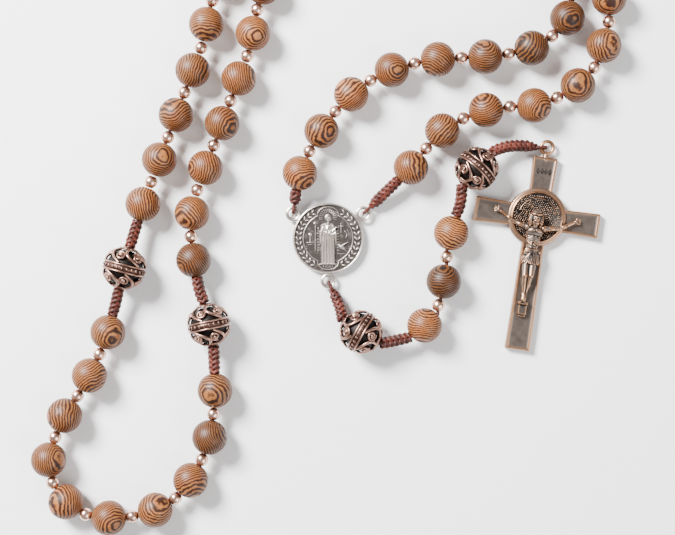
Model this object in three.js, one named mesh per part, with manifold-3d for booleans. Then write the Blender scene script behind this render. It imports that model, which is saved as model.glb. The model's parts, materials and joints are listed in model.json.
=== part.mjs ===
// A five-decade rosary laid flat: wooden beads, copper spacers and openwork large beads on a plaited
// cord, a round medal that joins the loop to the pendant, and a crucifix with its cast figure.
// Millimetres, +Z up. The origin is the centre of the medal's flat back, and everything rests on z = 0.
// The whole loop is one closed string. Its left end hangs on two parallel links, so that it can sway.

import * as THREE from "three";
import { mergeVertices } from "three/addons/utils/BufferGeometryUtils.js";
import Module from "manifold-3d";

const wasm = await Module();
wasm.setup();

// Driving dimensions.
const BEAD_R = 4;
const SPACER_R = 1.4;
const LARGE_BEAD_R = 5;
const CORD_R = 0.45;
const BORE_R = 0.8;
const LARGE_BORE_R = 1.1;
const SLEEVE_R = 1.15;
const KNOT_R = 1.35;
const GAP = 0.3;
const KNOT_GAP = 0.8;
const KNOT_SPLIT = 1;
const CORD_END_FROM_SPACER = 1.6;
const PLAIT_INTO_LOOP = 0.2;

const MEDAL_R = 8.25;
const MEDAL_T = 2;
const MEDAL_RIM_W = 0.9;
const MEDAL_RECESS = 0.3;
const EYE_FROM_MEDAL_CENTRE = 9.9;
const EYE_RING_R = 1.42;
const EYE_WIRE_R = 0.42;
const EYE_Z = 1.5;
const LOOP_R = 1.1;
const LOOP_CORD_R = 0.4;
const ROBE_OUTLINE = [[-1.9, -5], [1.9, -5], [1.6, 2.4], [0, 3.2], [-1.6, 2.4]];
const ROBE_ROOT = 0.2;
const MEDAL_HEAD = new THREE.Vector3(0, 4.2, MEDAL_T - 0.7);
const MEDAL_HEAD_R = 1;

const CROSS_LENGTH = 45;
const CROSS_SPAN = 29;
const CROSS_WIDTH = 5;
const CROSS_FLARE = 0.35;
const CROSS_T = 1.6;
const CROSS_RIM_T = 0.4;
const CROSS_RIM_W = 0.6;
const CROSS_ARM_Y = -14;
const CROSS_TOP_Y = -2.3;
const CROSS_NECK = { width: 1.6, length: 1.4, thickness: 1, above: 0.1, below: 0.2 };
const CROSS_TILT = THREE.MathUtils.degToRad(-8.5);
const DISC_R = 6.6;
const FIGURE_BACK_Z = CROSS_T + CROSS_RIM_T + GAP;

// How many sides a round plate has, and how far a cut runs past the face that it opens.
const ROUND = 24;
const CUT_PAST = 1;

// The figure's limbs about the crossing: points as x, y and height above its back, with a radius.
const TRUNK = [
  { points: [[0, -1.6, 1.5], [0, -4, 1.6], [0, -7.6, 1.4]], radius: 1.5 },
  { points: [[0, -7, 1.5], [0, -10.2, 1.5]], radius: 1.85 },
  { points: [[0.2, -9.6, 1.4], [0.5, -14.2, 1.9], [0, -19.6, 1.1]], radius: 1.2 },
  { points: [[-0.3, -0.4, 1.6], [0, -2, 1.5]], radius: 0.8 },
];
const ARM = { points: [[0.6, -2.2, 1.4], [4.4, -1.2, 0.9], [8.6, 0.5, 0.8]], radius: 0.7 };
const HEAD = { centre: [-0.3, 0.3, 1.9], radius: 1.35 };
const HAND = { centre: [8.7, 0.6, 0.8], radius: 0.78 };
const FOOT_LEDGE = { centre: [0, -20.6, 0.6], size: [3, 1.8, 1.2] };

// Steps along the string from one thing to the next.
const SPACER_STEP = BEAD_R + 1.5;
const KNOT_FROM_BEAD = 7.25;
const KNOT_FROM_LARGE_BEAD = 8.25;
const SHORT_EYE_KNOT = [4.9, 4.6];
const LONG_EYE_KNOT = [7, 8];
const PENDANT_EYE_KNOT = [6.5, 7.3];
const CRUCIFIX_EYE_KNOT = [10, 8.2];

// Heights of what is on the string above the surface that it lies on.
const HEIGHT = { bead: BEAD_R, spacer: BEAD_R, large: LARGE_BEAD_R, knot: 4.5, eye: EYE_Z, bend: 3.1 };

// Routes of the string, x and y in mm, chosen by hand. The two links are equal and parallel.
const OUTER_TOP = [-29.2, 43.7];
const INNER_TOP = [-18.6, 41.8];
const LINK_SPAN = [-11.5, -30.8];
const OUTER_FOOT = [OUTER_TOP[0] + LINK_SPAN[0], OUTER_TOP[1] + LINK_SPAN[1]];
const INNER_FOOT = [INNER_TOP[0] + LINK_SPAN[0], INNER_TOP[1] + LINK_SPAN[1]];
const eyeAt = (degrees) => [
  EYE_FROM_MEDAL_CENTRE * Math.cos(THREE.MathUtils.degToRad(degrees)),
  EYE_FROM_MEDAL_CENTRE * Math.sin(THREE.MathUtils.degToRad(degrees)),
];
const EYE_ANGLES = { right: 35, left: 145, bottom: -90 };
const CRUCIFIX_EYE = [50.8, 21];

const INNER_ROUTE = [
  eyeAt(EYE_ANGLES.left), [-6.4, 15.2], [-1.4, 24.8], [5.5, 33.2], [15, 38.8], [26, 41.2], [37, 41.8],
  [47.5, 44], [55, 50.5], [55.5, 59.5], [48, 65.8], [38, 67], [22, 66.6], [5, 66.2], [-8, 64.4],
  [-15, 57.5], [-16.9, 48.6], INNER_TOP,
];
const OUTER_ROUTE = [
  OUTER_TOP, [-27, 53.2], [-24.3, 63], [-18, 71.5], [-7, 76.6], [10, 77.4], [27, 77.4], [44, 76.6],
  [56.5, 71.5], [63.5, 61], [64.5, 49], [60, 37.5], [49.5, 31], [37, 29.6], [26.4, 24.8],
  [19.1, 16.3], eyeAt(EYE_ANGLES.right),
];
const LOOP_END_ROUTE = [
  INNER_FOOT, [-31.6, 3], [-30.4, -8.2], [-26.6, -23.4], [-26.2, -38.8], [-28.6, -50],
  [-35.6, -60.2], [-46.5, -64.2], [-58, -62.5], [-64.2, -53.5], [-61.4, -42.5], [-55.6, -33],
  [-51, -22.8], [-46.8, -7.4], [-42.7, 7.4], OUTER_FOOT,
];
const PENDANT_ROUTE = [
  eyeAt(EYE_ANGLES.bottom), [1.8, -14.4], [6.9, -21.1], [14.6, -23.6], [21.2, -20.9], [24.8, -16.6],
  [26.4, -11.2], [27, -5.8], [28, -0.2], [30.2, 7.6], [33.8, 15.5], [38.2, 19.9], [43.6, 21.4],
  CRUCIFIX_EYE,
];

const WOOD = new THREE.MeshStandardMaterial({ color: 0xa5652f, roughness: 0.45, metalness: 0 });
const COPPER = new THREE.MeshStandardMaterial({ color: 0xb5705a, roughness: 0.3, metalness: 1 });
const DARK_COPPER = new THREE.MeshStandardMaterial({ color: 0x6e4a3c, roughness: 0.4, metalness: 1 });
const BRONZE = new THREE.MeshStandardMaterial({ color: 0x8a7a70, roughness: 0.35, metalness: 1 });
const PLAIT = new THREE.MeshStandardMaterial({ color: 0x7a3020, roughness: 0.8, metalness: 0 });

// ---- shapes -------------------------------------------------------------------------------------

/** A three.js geometry as a closed solid. */
function solid(geometry) {
  const bare = geometry.index ? geometry.toNonIndexed() : geometry.clone();
  bare.deleteAttribute("normal");
  bare.deleteAttribute("uv");
  const merged = mergeVertices(bare, 1e-4);
  const source = merged.index.array;
  const triVerts = [];
  for (let i = 0; i < source.length; i += 3) {
    const [a, b, c] = [source[i], source[i + 1], source[i + 2]];
    if (a !== b && b !== c && c !== a) {
      triVerts.push(a, b, c);
    }
  }
  const made = (corners) => new wasm.Manifold(new wasm.Mesh({
    numProp: 3,
    vertProperties: new Float32Array(merged.attributes.position.array),
    triVerts: new Uint32Array(corners),
  }));
  const body = made(triVerts);
  return body.volume() > 0 ? body : made(triVerts.reverse());
}

/** A solid as a named mesh. */
function part(name, body, material) {
  const { vertProperties, triVerts } = body.getMesh();
  const geometry = new THREE.BufferGeometry();
  geometry.setAttribute("position", new THREE.BufferAttribute(new Float32Array(vertProperties), 3));
  geometry.setIndex(new THREE.BufferAttribute(new Uint32Array(triVerts), 1));
  geometry.computeVertexNormals();
  const mesh = new THREE.Mesh(geometry, material.clone());
  mesh.name = name;
  return mesh;
}

const joined = (bodies) => bodies.reduce((whole, body) => whole.add(body));

/** A path through given points with a corner at each one. */
class StringPath extends THREE.Curve {
  constructor(points) {
    super();
    this.points = points;
  }

  getPoint(t, target = new THREE.Vector3()) {
    const place = t * (this.points.length - 1);
    const index = Math.min(Math.floor(place + 1e-9), this.points.length - 2);
    return target.lerpVectors(this.points[index], this.points[index + 1], place - index);
  }

  getPointAt(u, target) {
    return this.getPoint(u, target);
  }

  getTangentAt(u, target = new THREE.Vector3()) {
    const place = Math.round(u * (this.points.length - 1));
    const before = this.points[Math.max(place - 1, 0)];
    const after = this.points[Math.min(place + 1, this.points.length - 1)];
    return target.subVectors(after, before).normalize();
  }
}

/** A round bar along a path, with flat ends. */
function bar(points, radius, sides = 8) {
  const corners = [];
  for (let i = 0; i < sides; i += 1) {
    const turn = (2 * Math.PI * i) / sides;
    corners.push(new THREE.Vector2(radius * Math.cos(turn), radius * Math.sin(turn)));
  }
  const geometry = new THREE.ExtrudeGeometry(new THREE.Shape(corners), {
    steps: points.length - 1,
    bevelEnabled: false,
    extrudePath: new StringPath(points),
  });
  return solid(geometry);
}

/** A lathe profile of [radius, distance along] turned about a string, which bends it. */
function turned(profile, points, step, around) {
  const outline = [...profile, profile[0]].map(([radius, along]) => new THREE.Vector2(radius, along));
  const geometry = new THREE.LatheGeometry(outline, around);
  const path = new StringPath(points);
  const corners = geometry.attributes.position;
  for (let i = 0; i < corners.count; i += 1) {
    const place = corners.getY(i) / step;
    const index = THREE.MathUtils.clamp(Math.floor(place), 0, points.length - 2);
    const centre = new THREE.Vector3().lerpVectors(points[index], points[index + 1], place - index);
    const before = path.getTangentAt(index / (points.length - 1));
    const after = path.getTangentAt((index + 1) / (points.length - 1));
    const share = THREE.MathUtils.clamp(place - index, 0, 1);
    const way = new THREE.Vector3().lerpVectors(before, after, share).setZ(0).normalize();
    centre.x += -way.y * corners.getX(i);
    centre.y += way.x * corners.getX(i);
    centre.z += corners.getZ(i);
    corners.setXYZ(i, centre.x, centre.y, centre.z);
  }
  return solid(geometry);
}

/** A ball whose poles lie along a direction in the plane. */
function ball(centre, radius, along, around = 8, rings = 6) {
  const geometry = new THREE.SphereGeometry(radius, around, rings);
  const flat = new THREE.Vector3(along.x, along.y, 0).normalize();
  const turn = new THREE.Quaternion().setFromUnitVectors(new THREE.Vector3(0, 1, 0), flat);
  geometry.applyQuaternion(turn);
  geometry.translate(centre.x, centre.y, centre.z);
  return solid(geometry);
}

/** A ring of wire about an axis through its centre. */
function ring(centre, axis, radius, wire, around = 10, sides = 5) {
  const geometry = new THREE.TorusGeometry(radius, wire, sides, around);
  const turn = new THREE.Quaternion().setFromUnitVectors(new THREE.Vector3(0, 0, 1), axis);
  geometry.applyQuaternion(turn);
  geometry.translate(centre.x, centre.y, centre.z);
  return solid(geometry);
}

/** A flat outline raised to a thickness. */
function slab(shape, low, high) {
  const geometry = new THREE.ExtrudeGeometry(shape, {
    depth: high - low,
    bevelEnabled: false,
    curveSegments: 6,
  });
  geometry.translate(0, 0, low);
  return solid(geometry);
}

// ---- the string ---------------------------------------------------------------------------------

/** Ten beads of a decade, counted up or down, with a spacer between each two. */
function decade(number, from, to) {
  const items = [];
  const way = Math.sign(to - from) || 1;
  for (let bead = from; bead !== to + way; bead += way) {
    if (items.length) {
      items.push({ kind: "spacer", step: SPACER_STEP, decade: number });
    }
    items.push({ kind: "bead", step: SPACER_STEP, decade: number, bead });
  }
  return items;
}

/** A large bead with the knot on each side of it. */
function large(number) {
  return [
    { kind: "knot", step: KNOT_FROM_BEAD },
    { kind: "large", step: KNOT_FROM_LARGE_BEAD, number },
    { kind: "knot", step: KNOT_FROM_LARGE_BEAD },
  ];
}

/** Gives each item on a route its place, in proportion to its nominal distance along the route. */
function string(route, items) {
  const curve = new THREE.CatmullRomCurve3(route.map(([x, y]) => new THREE.Vector3(x, y, 0)));
  curve.arcLengthDivisions = 2000;
  const nominal = items.reduce((sum, item, index) => sum + (index ? item.step : 0), 0);
  let gone = 0;
  for (const [index, item] of items.entries()) {
    gone += index ? item.step : 0;
    item.at = curve.getPointAt(Math.min(gone / nominal, 1));
    item.at.z = HEIGHT[item.kind];
  }
  return items;
}

const afterKnot = (items) => [{ ...items[0], step: KNOT_FROM_BEAD }, ...items.slice(1)];
const spacer = () => ({ kind: "spacer", step: SPACER_STEP });
const eye = (step = 0) => ({ kind: "eye", step });

const innerString = string(INNER_ROUTE, [
  eye(),
  { kind: "bend", step: SHORT_EYE_KNOT[0] },
  { ...decade(1, 1, 1)[0], step: SHORT_EYE_KNOT[1] },
  spacer(),
  ...decade(1, 2, 10),
  ...large(1),
  ...afterKnot(decade(2, 1, 5)),
  spacer(),
]);
const loopEndString = string(LOOP_END_ROUTE, [
  spacer(),
  ...decade(2, 9, 10),
  ...large(2),
  ...afterKnot(decade(3, 1, 10)),
  ...large(3),
  ...afterKnot(decade(4, 1, 1)),
  spacer(),
]);
const outerString = string(OUTER_ROUTE, [
  spacer(),
  ...decade(4, 5, 10),
  ...large(4),
  ...afterKnot(decade(5, 10, 1)),
  { kind: "bend", step: LONG_EYE_KNOT[0] },
  eye(LONG_EYE_KNOT[1]),
]);
const pendantString = string(PENDANT_ROUTE, [
  eye(),
  { kind: "bend", step: PENDANT_EYE_KNOT[0] },
  { kind: "large", step: PENDANT_EYE_KNOT[1], number: 5 },
  { kind: "knot", step: KNOT_FROM_LARGE_BEAD },
  ...afterKnot(decade(6, 1, 3)),
  ...large(6).slice(0, 2),
  { kind: "bend", step: CRUCIFIX_EYE_KNOT[0] },
  eye(CRUCIFIX_EYE_KNOT[1]),
]);
const linkString = (top, foot, number, from, to) =>
  string([top, foot], [spacer(), ...decade(number, from, to), spacer()]);
const outerLink = linkString(OUTER_FOOT, OUTER_TOP, 4, 2, 4);
const innerLink = linkString(INNER_TOP, INNER_FOOT, 2, 6, 8);

/** The direction of a string at one of its items. */
function heading(items, index) {
  const before = items[Math.max(index - 1, 0)].at;
  const after = items[Math.min(index + 1, items.length - 1)].at;
  return new THREE.Vector3().subVectors(after, before).normalize();
}

/** A point at a distance from one item towards another. */
function towards(from, to, distance) {
  const way = new THREE.Vector3().subVectors(to, from).normalize();
  return from.clone().addScaledVector(way, distance);
}

/** The outer profile of one bead or spacer, from its near face to its far one. */
function beadProfile(item, centre, bore, angles) {
  const radius = { bead: BEAD_R, spacer: SPACER_R, large: LARGE_BEAD_R }[item.kind];
  return angles.map((degrees) => {
    const turn = THREE.MathUtils.degToRad(degrees);
    return [Math.max(radius * Math.sin(turn), bore), centre - radius * Math.cos(turn)];
  });
}

/** Beads from one item to another, joined by the spacers among them, and bored for the cord. */
function strung(items, first, last) {
  const turns = spins(items, first);
  const boreRadius = items === pendantString ? LARGE_BORE_R : BORE_R;
  const before = turns || first === 0
    ? items[first].at.clone().addScaledVector(heading(items, first), -SPACER_STEP)
    : towards(items[first].at, items[first - 1].at, SPACER_STEP);
  const after = turns || last === items.length - 1
    ? items[last].at.clone().addScaledVector(heading(items, last), SPACER_STEP)
    : towards(items[last].at, items[last + 1].at, SPACER_STEP);
  const points = [before, ...items.slice(first, last + 1).map((item) => item.at), after];
  const profile = [];
  for (let i = first; i <= last; i += 1) {
    const centre = (i - first + 1) * SPACER_STEP;
    if (items[i].kind === "bead") {
      profile.push(...beadProfile(items[i], centre, SLEEVE_R, [17, 50, 90, 130, 163]));
    } else {
      profile.push(...beadProfile(items[i], centre, SLEEVE_R, first === last ? [35, 90, 145] : [90]));
      if (i === last && first !== last) {
        profile.push(...beadProfile(items[i], centre, SLEEVE_R, [125]));
      }
    }
  }
  const bore = [];
  for (let i = last; i >= first; i -= 1) {
    bore.push([boreRadius, (i - first + 1) * SPACER_STEP]);
  }
  bore.unshift([boreRadius, profile.at(-1)[1]]);
  bore.push([boreRadius, profile[0][1]]);
  return turned([...profile, ...bore], points, SPACER_STEP, 8);
}

const two = (number) => String(number).padStart(2, "0");

/** Names and makes the beads of a string in groups of one or two, each with the spacer that follows. */
function beadParts(items) {
  const made = [];
  let index = 0;
  while (index < items.length) {
    if (items[index].kind !== "bead") {
      index += 1;
      continue;
    }
    const start = index;
    const pair = items[index + 2]?.kind === "bead" && items[index + 2].decade === items[index].decade;
    let end = pair ? index + 2 : index;
    const numbers = [items[start].bead, items[end].bead].sort((a, b) => a - b);
    if (items[end + 1]?.kind === "spacer") {
      end += 1;
    }
    const label = pair ? `beads_${two(numbers[0])}_${two(numbers[1])}` : `bead_${two(numbers[0])}`;
    made.push(part(`decade_${items[start].decade}_${label}`, strung(items, start, end), WOOD));
    index = end + 1;
  }
  return made;
}

/** The large openwork beads of a string. */
function largeParts(items) {
  const made = [];
  for (const [index, item] of items.entries()) {
    if (item.kind === "large") {
      const before = item.at.clone().addScaledVector(heading(items, index), -LARGE_BEAD_R);
      const after = item.at.clone().addScaledVector(heading(items, index), LARGE_BEAD_R);
      const profile = beadProfile(item, LARGE_BEAD_R, LARGE_BORE_R, [13, 40, 65, 90, 115, 140, 167]);
      const body = turned(profile, [before, item.at, after], LARGE_BEAD_R, 10);
      made.push(part(`our_father_bead_${item.number}`, body, DARK_COPPER));
    }
  }
  return made;
}

/** The loop of cord that passes through an eye, standing across the eye's wire. */
function cordLoop(eyeItem, next) {
  const way = new THREE.Vector3(next.at.x - eyeItem.at.x, next.at.y - eyeItem.at.y, 0).normalize();
  const centre = eyeItem.at.clone().addScaledVector(way, EYE_RING_R);
  const axis = new THREE.Vector3(-way.y, way.x, 0);
  return { body: ring(centre, axis, LOOP_R, LOOP_CORD_R), centre, way };
}

/** Where the plait that starts at an eye's cord loop begins. */
function plaitStart(eyeItem, next, clear) {
  const { centre, way } = cordLoop(eyeItem, next);
  return centre.clone().addScaledVector(way, LOOP_R + clear);
}

/** The cord of part of a string: its core through the beads and the thick plait at each knot. */
function cord(items, { first = 0, last = items.length - 1, startLoop = false, endLoop = false } = {}) {
  const core = [];
  const bodies = [];
  for (let i = first; i <= last; i += 1) {
    const item = items[i];
    if (item.kind === "eye") {
      const next = i === 0 ? items[1] : items[i - 1];
      core.push(plaitStart(item, next, (i === 0 ? startLoop : endLoop) ? 0 : GAP + LOOP_CORD_R));
      if (i === 0 ? startLoop : endLoop) {
        bodies.push(cordLoop(item, next).body);
      }
    } else if ((i === first || i === last) && item.kind === "spacer") {
      const inner = items[i === first ? i + 1 : i - 1].at;
      core.push(towards(item.at, inner, CORD_END_FROM_SPACER));
    } else if ((i === first || i === last) && item.kind === "knot") {
      core.push(towards(item.at, items[i === first ? i + 1 : i - 1].at, KNOT_SPLIT / 2));
    } else if (spins(items, i)) {
      core.push(faceAt(items, i, -1, 0), faceAt(items, i, 1, 0));
    } else {
      core.push(item.at.clone());
    }
  }
  bodies.push(bar(core, CORD_R, 6));
  for (let i = first; i <= last; i += 1) {
    const item = items[i];
    if (item.kind === "knot") {
      const points = [item.at];
      if (i > first) {
        points.unshift(faceAt(items, i - 1, 1));
      } else {
        points[0] = towards(item.at, items[i + 1].at, KNOT_SPLIT / 2);
      }
      if (i < last) {
        points.push(faceAt(items, i + 1, -1));
      } else {
        points[points.length - 1] = towards(item.at, items[i - 1].at, KNOT_SPLIT / 2);
      }
      bodies.push(bar(points, KNOT_R, 8));
    } else if (item.kind === "eye") {
      const bend = items[i === 0 ? 1 : i - 1];
      const looped = i === 0 ? startLoop : endLoop;
      const start = plaitStart(item, bend, looped ? -PLAIT_INTO_LOOP : GAP + LOOP_CORD_R);
      const end = i === 0 ? faceAt(items, 2, -1) : faceAt(items, i - 2, 1);
      bodies.push(bar([start, bend.at, end], KNOT_R, 8));
    }
  }
  return joined(bodies);
}

/** Whether a bead turns on the cord by itself, so that the cord runs straight through it. */
function spins(items, index) {
  return items[index].kind === "large" || (items === pendantString && items[index].kind === "bead");
}

/** The point of the cord outside a bead by a gap, before it (-1) or after it (1). */
function faceAt(items, index, side, gap = KNOT_GAP) {
  const item = items[index];
  const reach = (item.kind === "large" ? LARGE_BEAD_R : BEAD_R) + gap;
  if (spins(items, index)) {
    return item.at.clone().addScaledVector(heading(items, index), side * reach);
  }
  return towards(item.at, items[index + side].at, reach);
}

// ---- medal --------------------------------------------------------------------------------------

function medal() {
  const profile = [
    [0, 0], [MEDAL_R, 0], [MEDAL_R, MEDAL_T], [MEDAL_R - MEDAL_RIM_W, MEDAL_T],
    [MEDAL_R - MEDAL_RIM_W, MEDAL_T - MEDAL_RECESS], [0, MEDAL_T - MEDAL_RECESS],
  ];
  const geometry = new THREE.LatheGeometry(profile.map(([x, y]) => new THREE.Vector2(x, y)), ROUND);
  geometry.rotateX(Math.PI / 2);
  const bodies = [solid(geometry)];
  for (const degrees of Object.values(EYE_ANGLES)) {
    const [x, y] = eyeAt(degrees);
    bodies.push(ring(new THREE.Vector3(x, y, EYE_Z), new THREE.Vector3(0, 0, 1), EYE_RING_R, EYE_WIRE_R));
  }
  const robe = new THREE.Shape(ROBE_OUTLINE.map(([x, y]) => new THREE.Vector2(x, y)));
  bodies.push(slab(robe, MEDAL_T - MEDAL_RECESS - ROBE_ROOT, MEDAL_T));
  bodies.push(ball(MEDAL_HEAD, MEDAL_HEAD_R, new THREE.Vector3(0, 1, 0)));
  return part("medal", joined(bodies), BRONZE);
}

// ---- crucifix -----------------------------------------------------------------------------------

/** The cross's outline about the top of its post, a little wider at its ends, shrunk by an inset. */
function crossShape(inset) {
  const half = CROSS_WIDTH / 2 - inset;
  const wide = half + CROSS_FLARE;
  const span = CROSS_SPAN / 2 - inset;
  const foot = -CROSS_LENGTH + inset;
  const arm = CROSS_ARM_Y;
  const corners = [
    [-wide, -inset], [-half, arm + half], [-span, arm + wide], [-span, arm - wide], [-half, arm - half],
    [-wide, foot], [wide, foot], [half, arm - half], [span, arm - wide], [span, arm + wide],
    [half, arm + half], [wide, -inset],
  ];
  return new THREE.Shape(corners.map(([x, y]) => new THREE.Vector2(x, y)));
}

/** Turns and moves a solid from the crucifix's own frame to its place at the end of the pendant. */
function onCrucifix(geometryBody) {
  const degrees = THREE.MathUtils.radToDeg(CROSS_TILT);
  return geometryBody.rotate([0, 0, degrees]).translate([CRUCIFIX_EYE[0], CRUCIFIX_EYE[1], 0]);
}

function crucifix() {
  const lowered = (body) => body.translate([0, CROSS_TOP_Y, 0]);
  const rimCut = lowered(slab(crossShape(CROSS_RIM_W), CROSS_T, CROSS_T + CROSS_RIM_T + CUT_PAST));
  const disc = new THREE.CylinderGeometry(DISC_R, DISC_R, CROSS_T + CROSS_RIM_T, ROUND);
  disc.rotateX(Math.PI / 2);
  disc.translate(0, CROSS_ARM_Y + CROSS_TOP_Y, (CROSS_T + CROSS_RIM_T) / 2);
  const wellDepth = CROSS_RIM_T + CUT_PAST;
  const well = new THREE.CylinderGeometry(DISC_R - CROSS_RIM_W, DISC_R - CROSS_RIM_W, wellDepth, ROUND);
  well.rotateX(Math.PI / 2);
  well.translate(0, CROSS_ARM_Y + CROSS_TOP_Y, CROSS_T + wellDepth / 2);
  const plate = lowered(slab(crossShape(0), 0, CROSS_T + CROSS_RIM_T)).add(solid(disc));
  const eyeRing = ring(new THREE.Vector3(0, 0, EYE_Z), new THREE.Vector3(0, 0, 1), EYE_RING_R, EYE_WIRE_R);
  const neck = new THREE.BoxGeometry(CROSS_NECK.width, CROSS_NECK.length, CROSS_NECK.thickness);
  neck.translate(0, CROSS_TOP_Y + CROSS_NECK.above, EYE_Z - CROSS_NECK.below);
  const cast = joined([plate.subtract(rimCut).subtract(solid(well)), eyeRing, solid(neck)]);
  return part("crucifix", onCrucifix(cast), DARK_COPPER);
}

/** The cast figure, built of rounded limbs about the cross's crossing. */
function figure() {
  const at = ([x, y, height], side = 1) =>
    new THREE.Vector3(side * x, y + CROSS_ARM_Y + CROSS_TOP_Y, FIGURE_BACK_Z + height);
  const up = new THREE.Vector3(0, 1, 0);
  const bodies = TRUNK.map(({ points, radius }) => bar(points.map((point) => at(point)), radius, 6));
  bodies.unshift(ball(at(HEAD.centre), HEAD.radius, up, 10, 8));
  for (const side of [-1, 1]) {
    bodies.push(bar(ARM.points.map((point) => at(point, side)), ARM.radius, 6));
    bodies.push(ball(at(HAND.centre, side), HAND.radius, up));
  }
  const ledge = new THREE.BoxGeometry(...FOOT_LEDGE.size);
  const { x, y, z } = at(FOOT_LEDGE.centre);
  ledge.translate(x, y, z);
  bodies.push(solid(ledge));
  return part("crucifix_figure", onCrucifix(joined(bodies)), DARK_COPPER);
}

// ---- assembly -----------------------------------------------------------------------------------

const knots = pendantString.flatMap((item, index) => (item.kind === "knot" ? [index] : []));
const crossLoop = cordLoop(pendantString.at(-1), pendantString.at(-2));

const rosary = new THREE.Group();
rosary.add(medal(), crucifix(), figure());
rosary.add(part("crucifix_cord_loop", crossLoop.body, PLAIT));
rosary.add(part("cord_inner", cord(innerString, { startLoop: true }), PLAIT));
rosary.add(part("cord_outer", cord(outerString, { endLoop: true }), PLAIT));
rosary.add(part("cord_loop_end", cord(loopEndString), PLAIT));
rosary.add(part("cord_inner_link", cord(innerLink), PLAIT));
rosary.add(part("cord_outer_link", cord(outerLink), PLAIT));
rosary.add(part("cord_pendant_upper", cord(pendantString, { last: knots[0], startLoop: true }), PLAIT));
rosary.add(part("cord_pendant_middle", cord(pendantString, { first: knots[0], last: knots[1] }), PLAIT));
rosary.add(part("cord_pendant_lower", cord(pendantString, { first: knots[1] }), PLAIT));
for (const items of [innerString, loopEndString, outerString, innerLink, outerLink]) {
  rosary.add(...beadParts(items));
}
for (const items of [innerString, loopEndString, outerString, pendantString]) {
  rosary.add(...largeParts(items));
}
for (const [index, item] of pendantString.entries()) {
  if (item.kind === "bead") {
    rosary.add(part(`pendant_bead_${item.bead}`, strung(pendantString, index, index), WOOD));
  } else if (item.kind === "spacer") {
    const number = pendantString[index - 1].bead;
    rosary.add(part(`pendant_spacer_${number}`, strung(pendantString, index, index), COPPER));
  }
}

export default rosary;
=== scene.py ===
"""A five-decade rosary laid flat: striped wooden beads, copper balls, openwork beads, plaited knots,
a round medal and a crucifix with its cast figure. Metres, +Z up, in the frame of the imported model.
Each operator makes one piece, or a group of like pieces, around that model, and hides what the new
pieces replace."""

import json
import math
import random

import bmesh
import bpy
import numpy as np
from mathutils import Matrix, Vector

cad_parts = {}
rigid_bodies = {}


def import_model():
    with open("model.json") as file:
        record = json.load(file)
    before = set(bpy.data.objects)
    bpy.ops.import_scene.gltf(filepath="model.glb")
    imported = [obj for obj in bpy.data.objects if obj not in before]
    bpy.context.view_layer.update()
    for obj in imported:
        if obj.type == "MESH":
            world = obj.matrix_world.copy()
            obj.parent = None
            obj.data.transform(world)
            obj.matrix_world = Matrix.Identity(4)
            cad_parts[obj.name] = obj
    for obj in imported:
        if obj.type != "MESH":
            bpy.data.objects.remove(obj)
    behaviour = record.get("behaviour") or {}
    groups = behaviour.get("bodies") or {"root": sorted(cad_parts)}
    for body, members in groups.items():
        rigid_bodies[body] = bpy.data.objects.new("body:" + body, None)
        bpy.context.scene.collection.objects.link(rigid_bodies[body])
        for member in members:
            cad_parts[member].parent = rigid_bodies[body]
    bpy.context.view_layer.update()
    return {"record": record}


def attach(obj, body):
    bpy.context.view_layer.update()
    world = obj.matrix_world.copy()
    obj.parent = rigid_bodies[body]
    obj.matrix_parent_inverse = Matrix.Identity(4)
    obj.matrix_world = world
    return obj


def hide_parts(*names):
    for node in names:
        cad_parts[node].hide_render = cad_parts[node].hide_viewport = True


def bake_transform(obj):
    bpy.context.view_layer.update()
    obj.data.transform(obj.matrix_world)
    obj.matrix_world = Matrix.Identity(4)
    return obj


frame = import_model()

bl_info = {
    "name": "Rosary",
    "version": (1, 0, 0),
    "blender": (4, 5, 0),
    "location": "View3D > Sidebar > Rosary",
    "description": "Makes a rosary of wooden and openwork beads with a medal and a crucifix",
    "category": "Add Mesh",
}

MM = 0.001

# The string: radii, heights above the surface it lies on, and steps from one thing to the next.
BEAD_R = 4 * MM
SPACER_R = 1.5 * MM
LARGE_BEAD_R = 5 * MM
BORE_R = 0.75 * MM
CORE_R = 0.45 * MM
HEIGHT = {kind: high * MM for kind, high in
          {"bead": 4, "spacer": 4, "large": 5, "knot": 4.5, "eye": 1.5, "bend": 3.1}.items()}
SPACER_STEP = 5.5 * MM
KNOT_FROM_BEAD = 7.25 * MM
KNOT_FROM_LARGE_BEAD = 8.25 * MM
SHORT_EYE_KNOT = (4.9 * MM, 4.6 * MM)
LONG_EYE_KNOT = (7 * MM, 8 * MM)
PENDANT_EYE_KNOT = (6.5 * MM, 7.3 * MM)
CRUCIFIX_EYE_KNOT = (10 * MM, 8.2 * MM)
KNOT_CLEAR = 0.15 * MM
CORD_END_FROM_SPACER = 1.6 * MM
ROUTE_SAMPLES = 2000

# The cast eyes of the medal and the crucifix, and the cord's loop through each.
EYE_FROM_MEDAL = 9.9 * MM
EYE_RING_R = 1.42 * MM
EYE_WIRE_R = 0.42 * MM
EYE_ANGLES = {"right": 35, "left": 145, "bottom": -90}
CORD_LOOP_R = 1.1 * MM
CORD_LOOP_STRAND_R = 0.27 * MM


def eye_at(side):
    """Where one of the medal's eyes is, x and y."""
    turn = math.radians(EYE_ANGLES[side])
    return (EYE_FROM_MEDAL * math.cos(turn), EYE_FROM_MEDAL * math.sin(turn))


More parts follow.
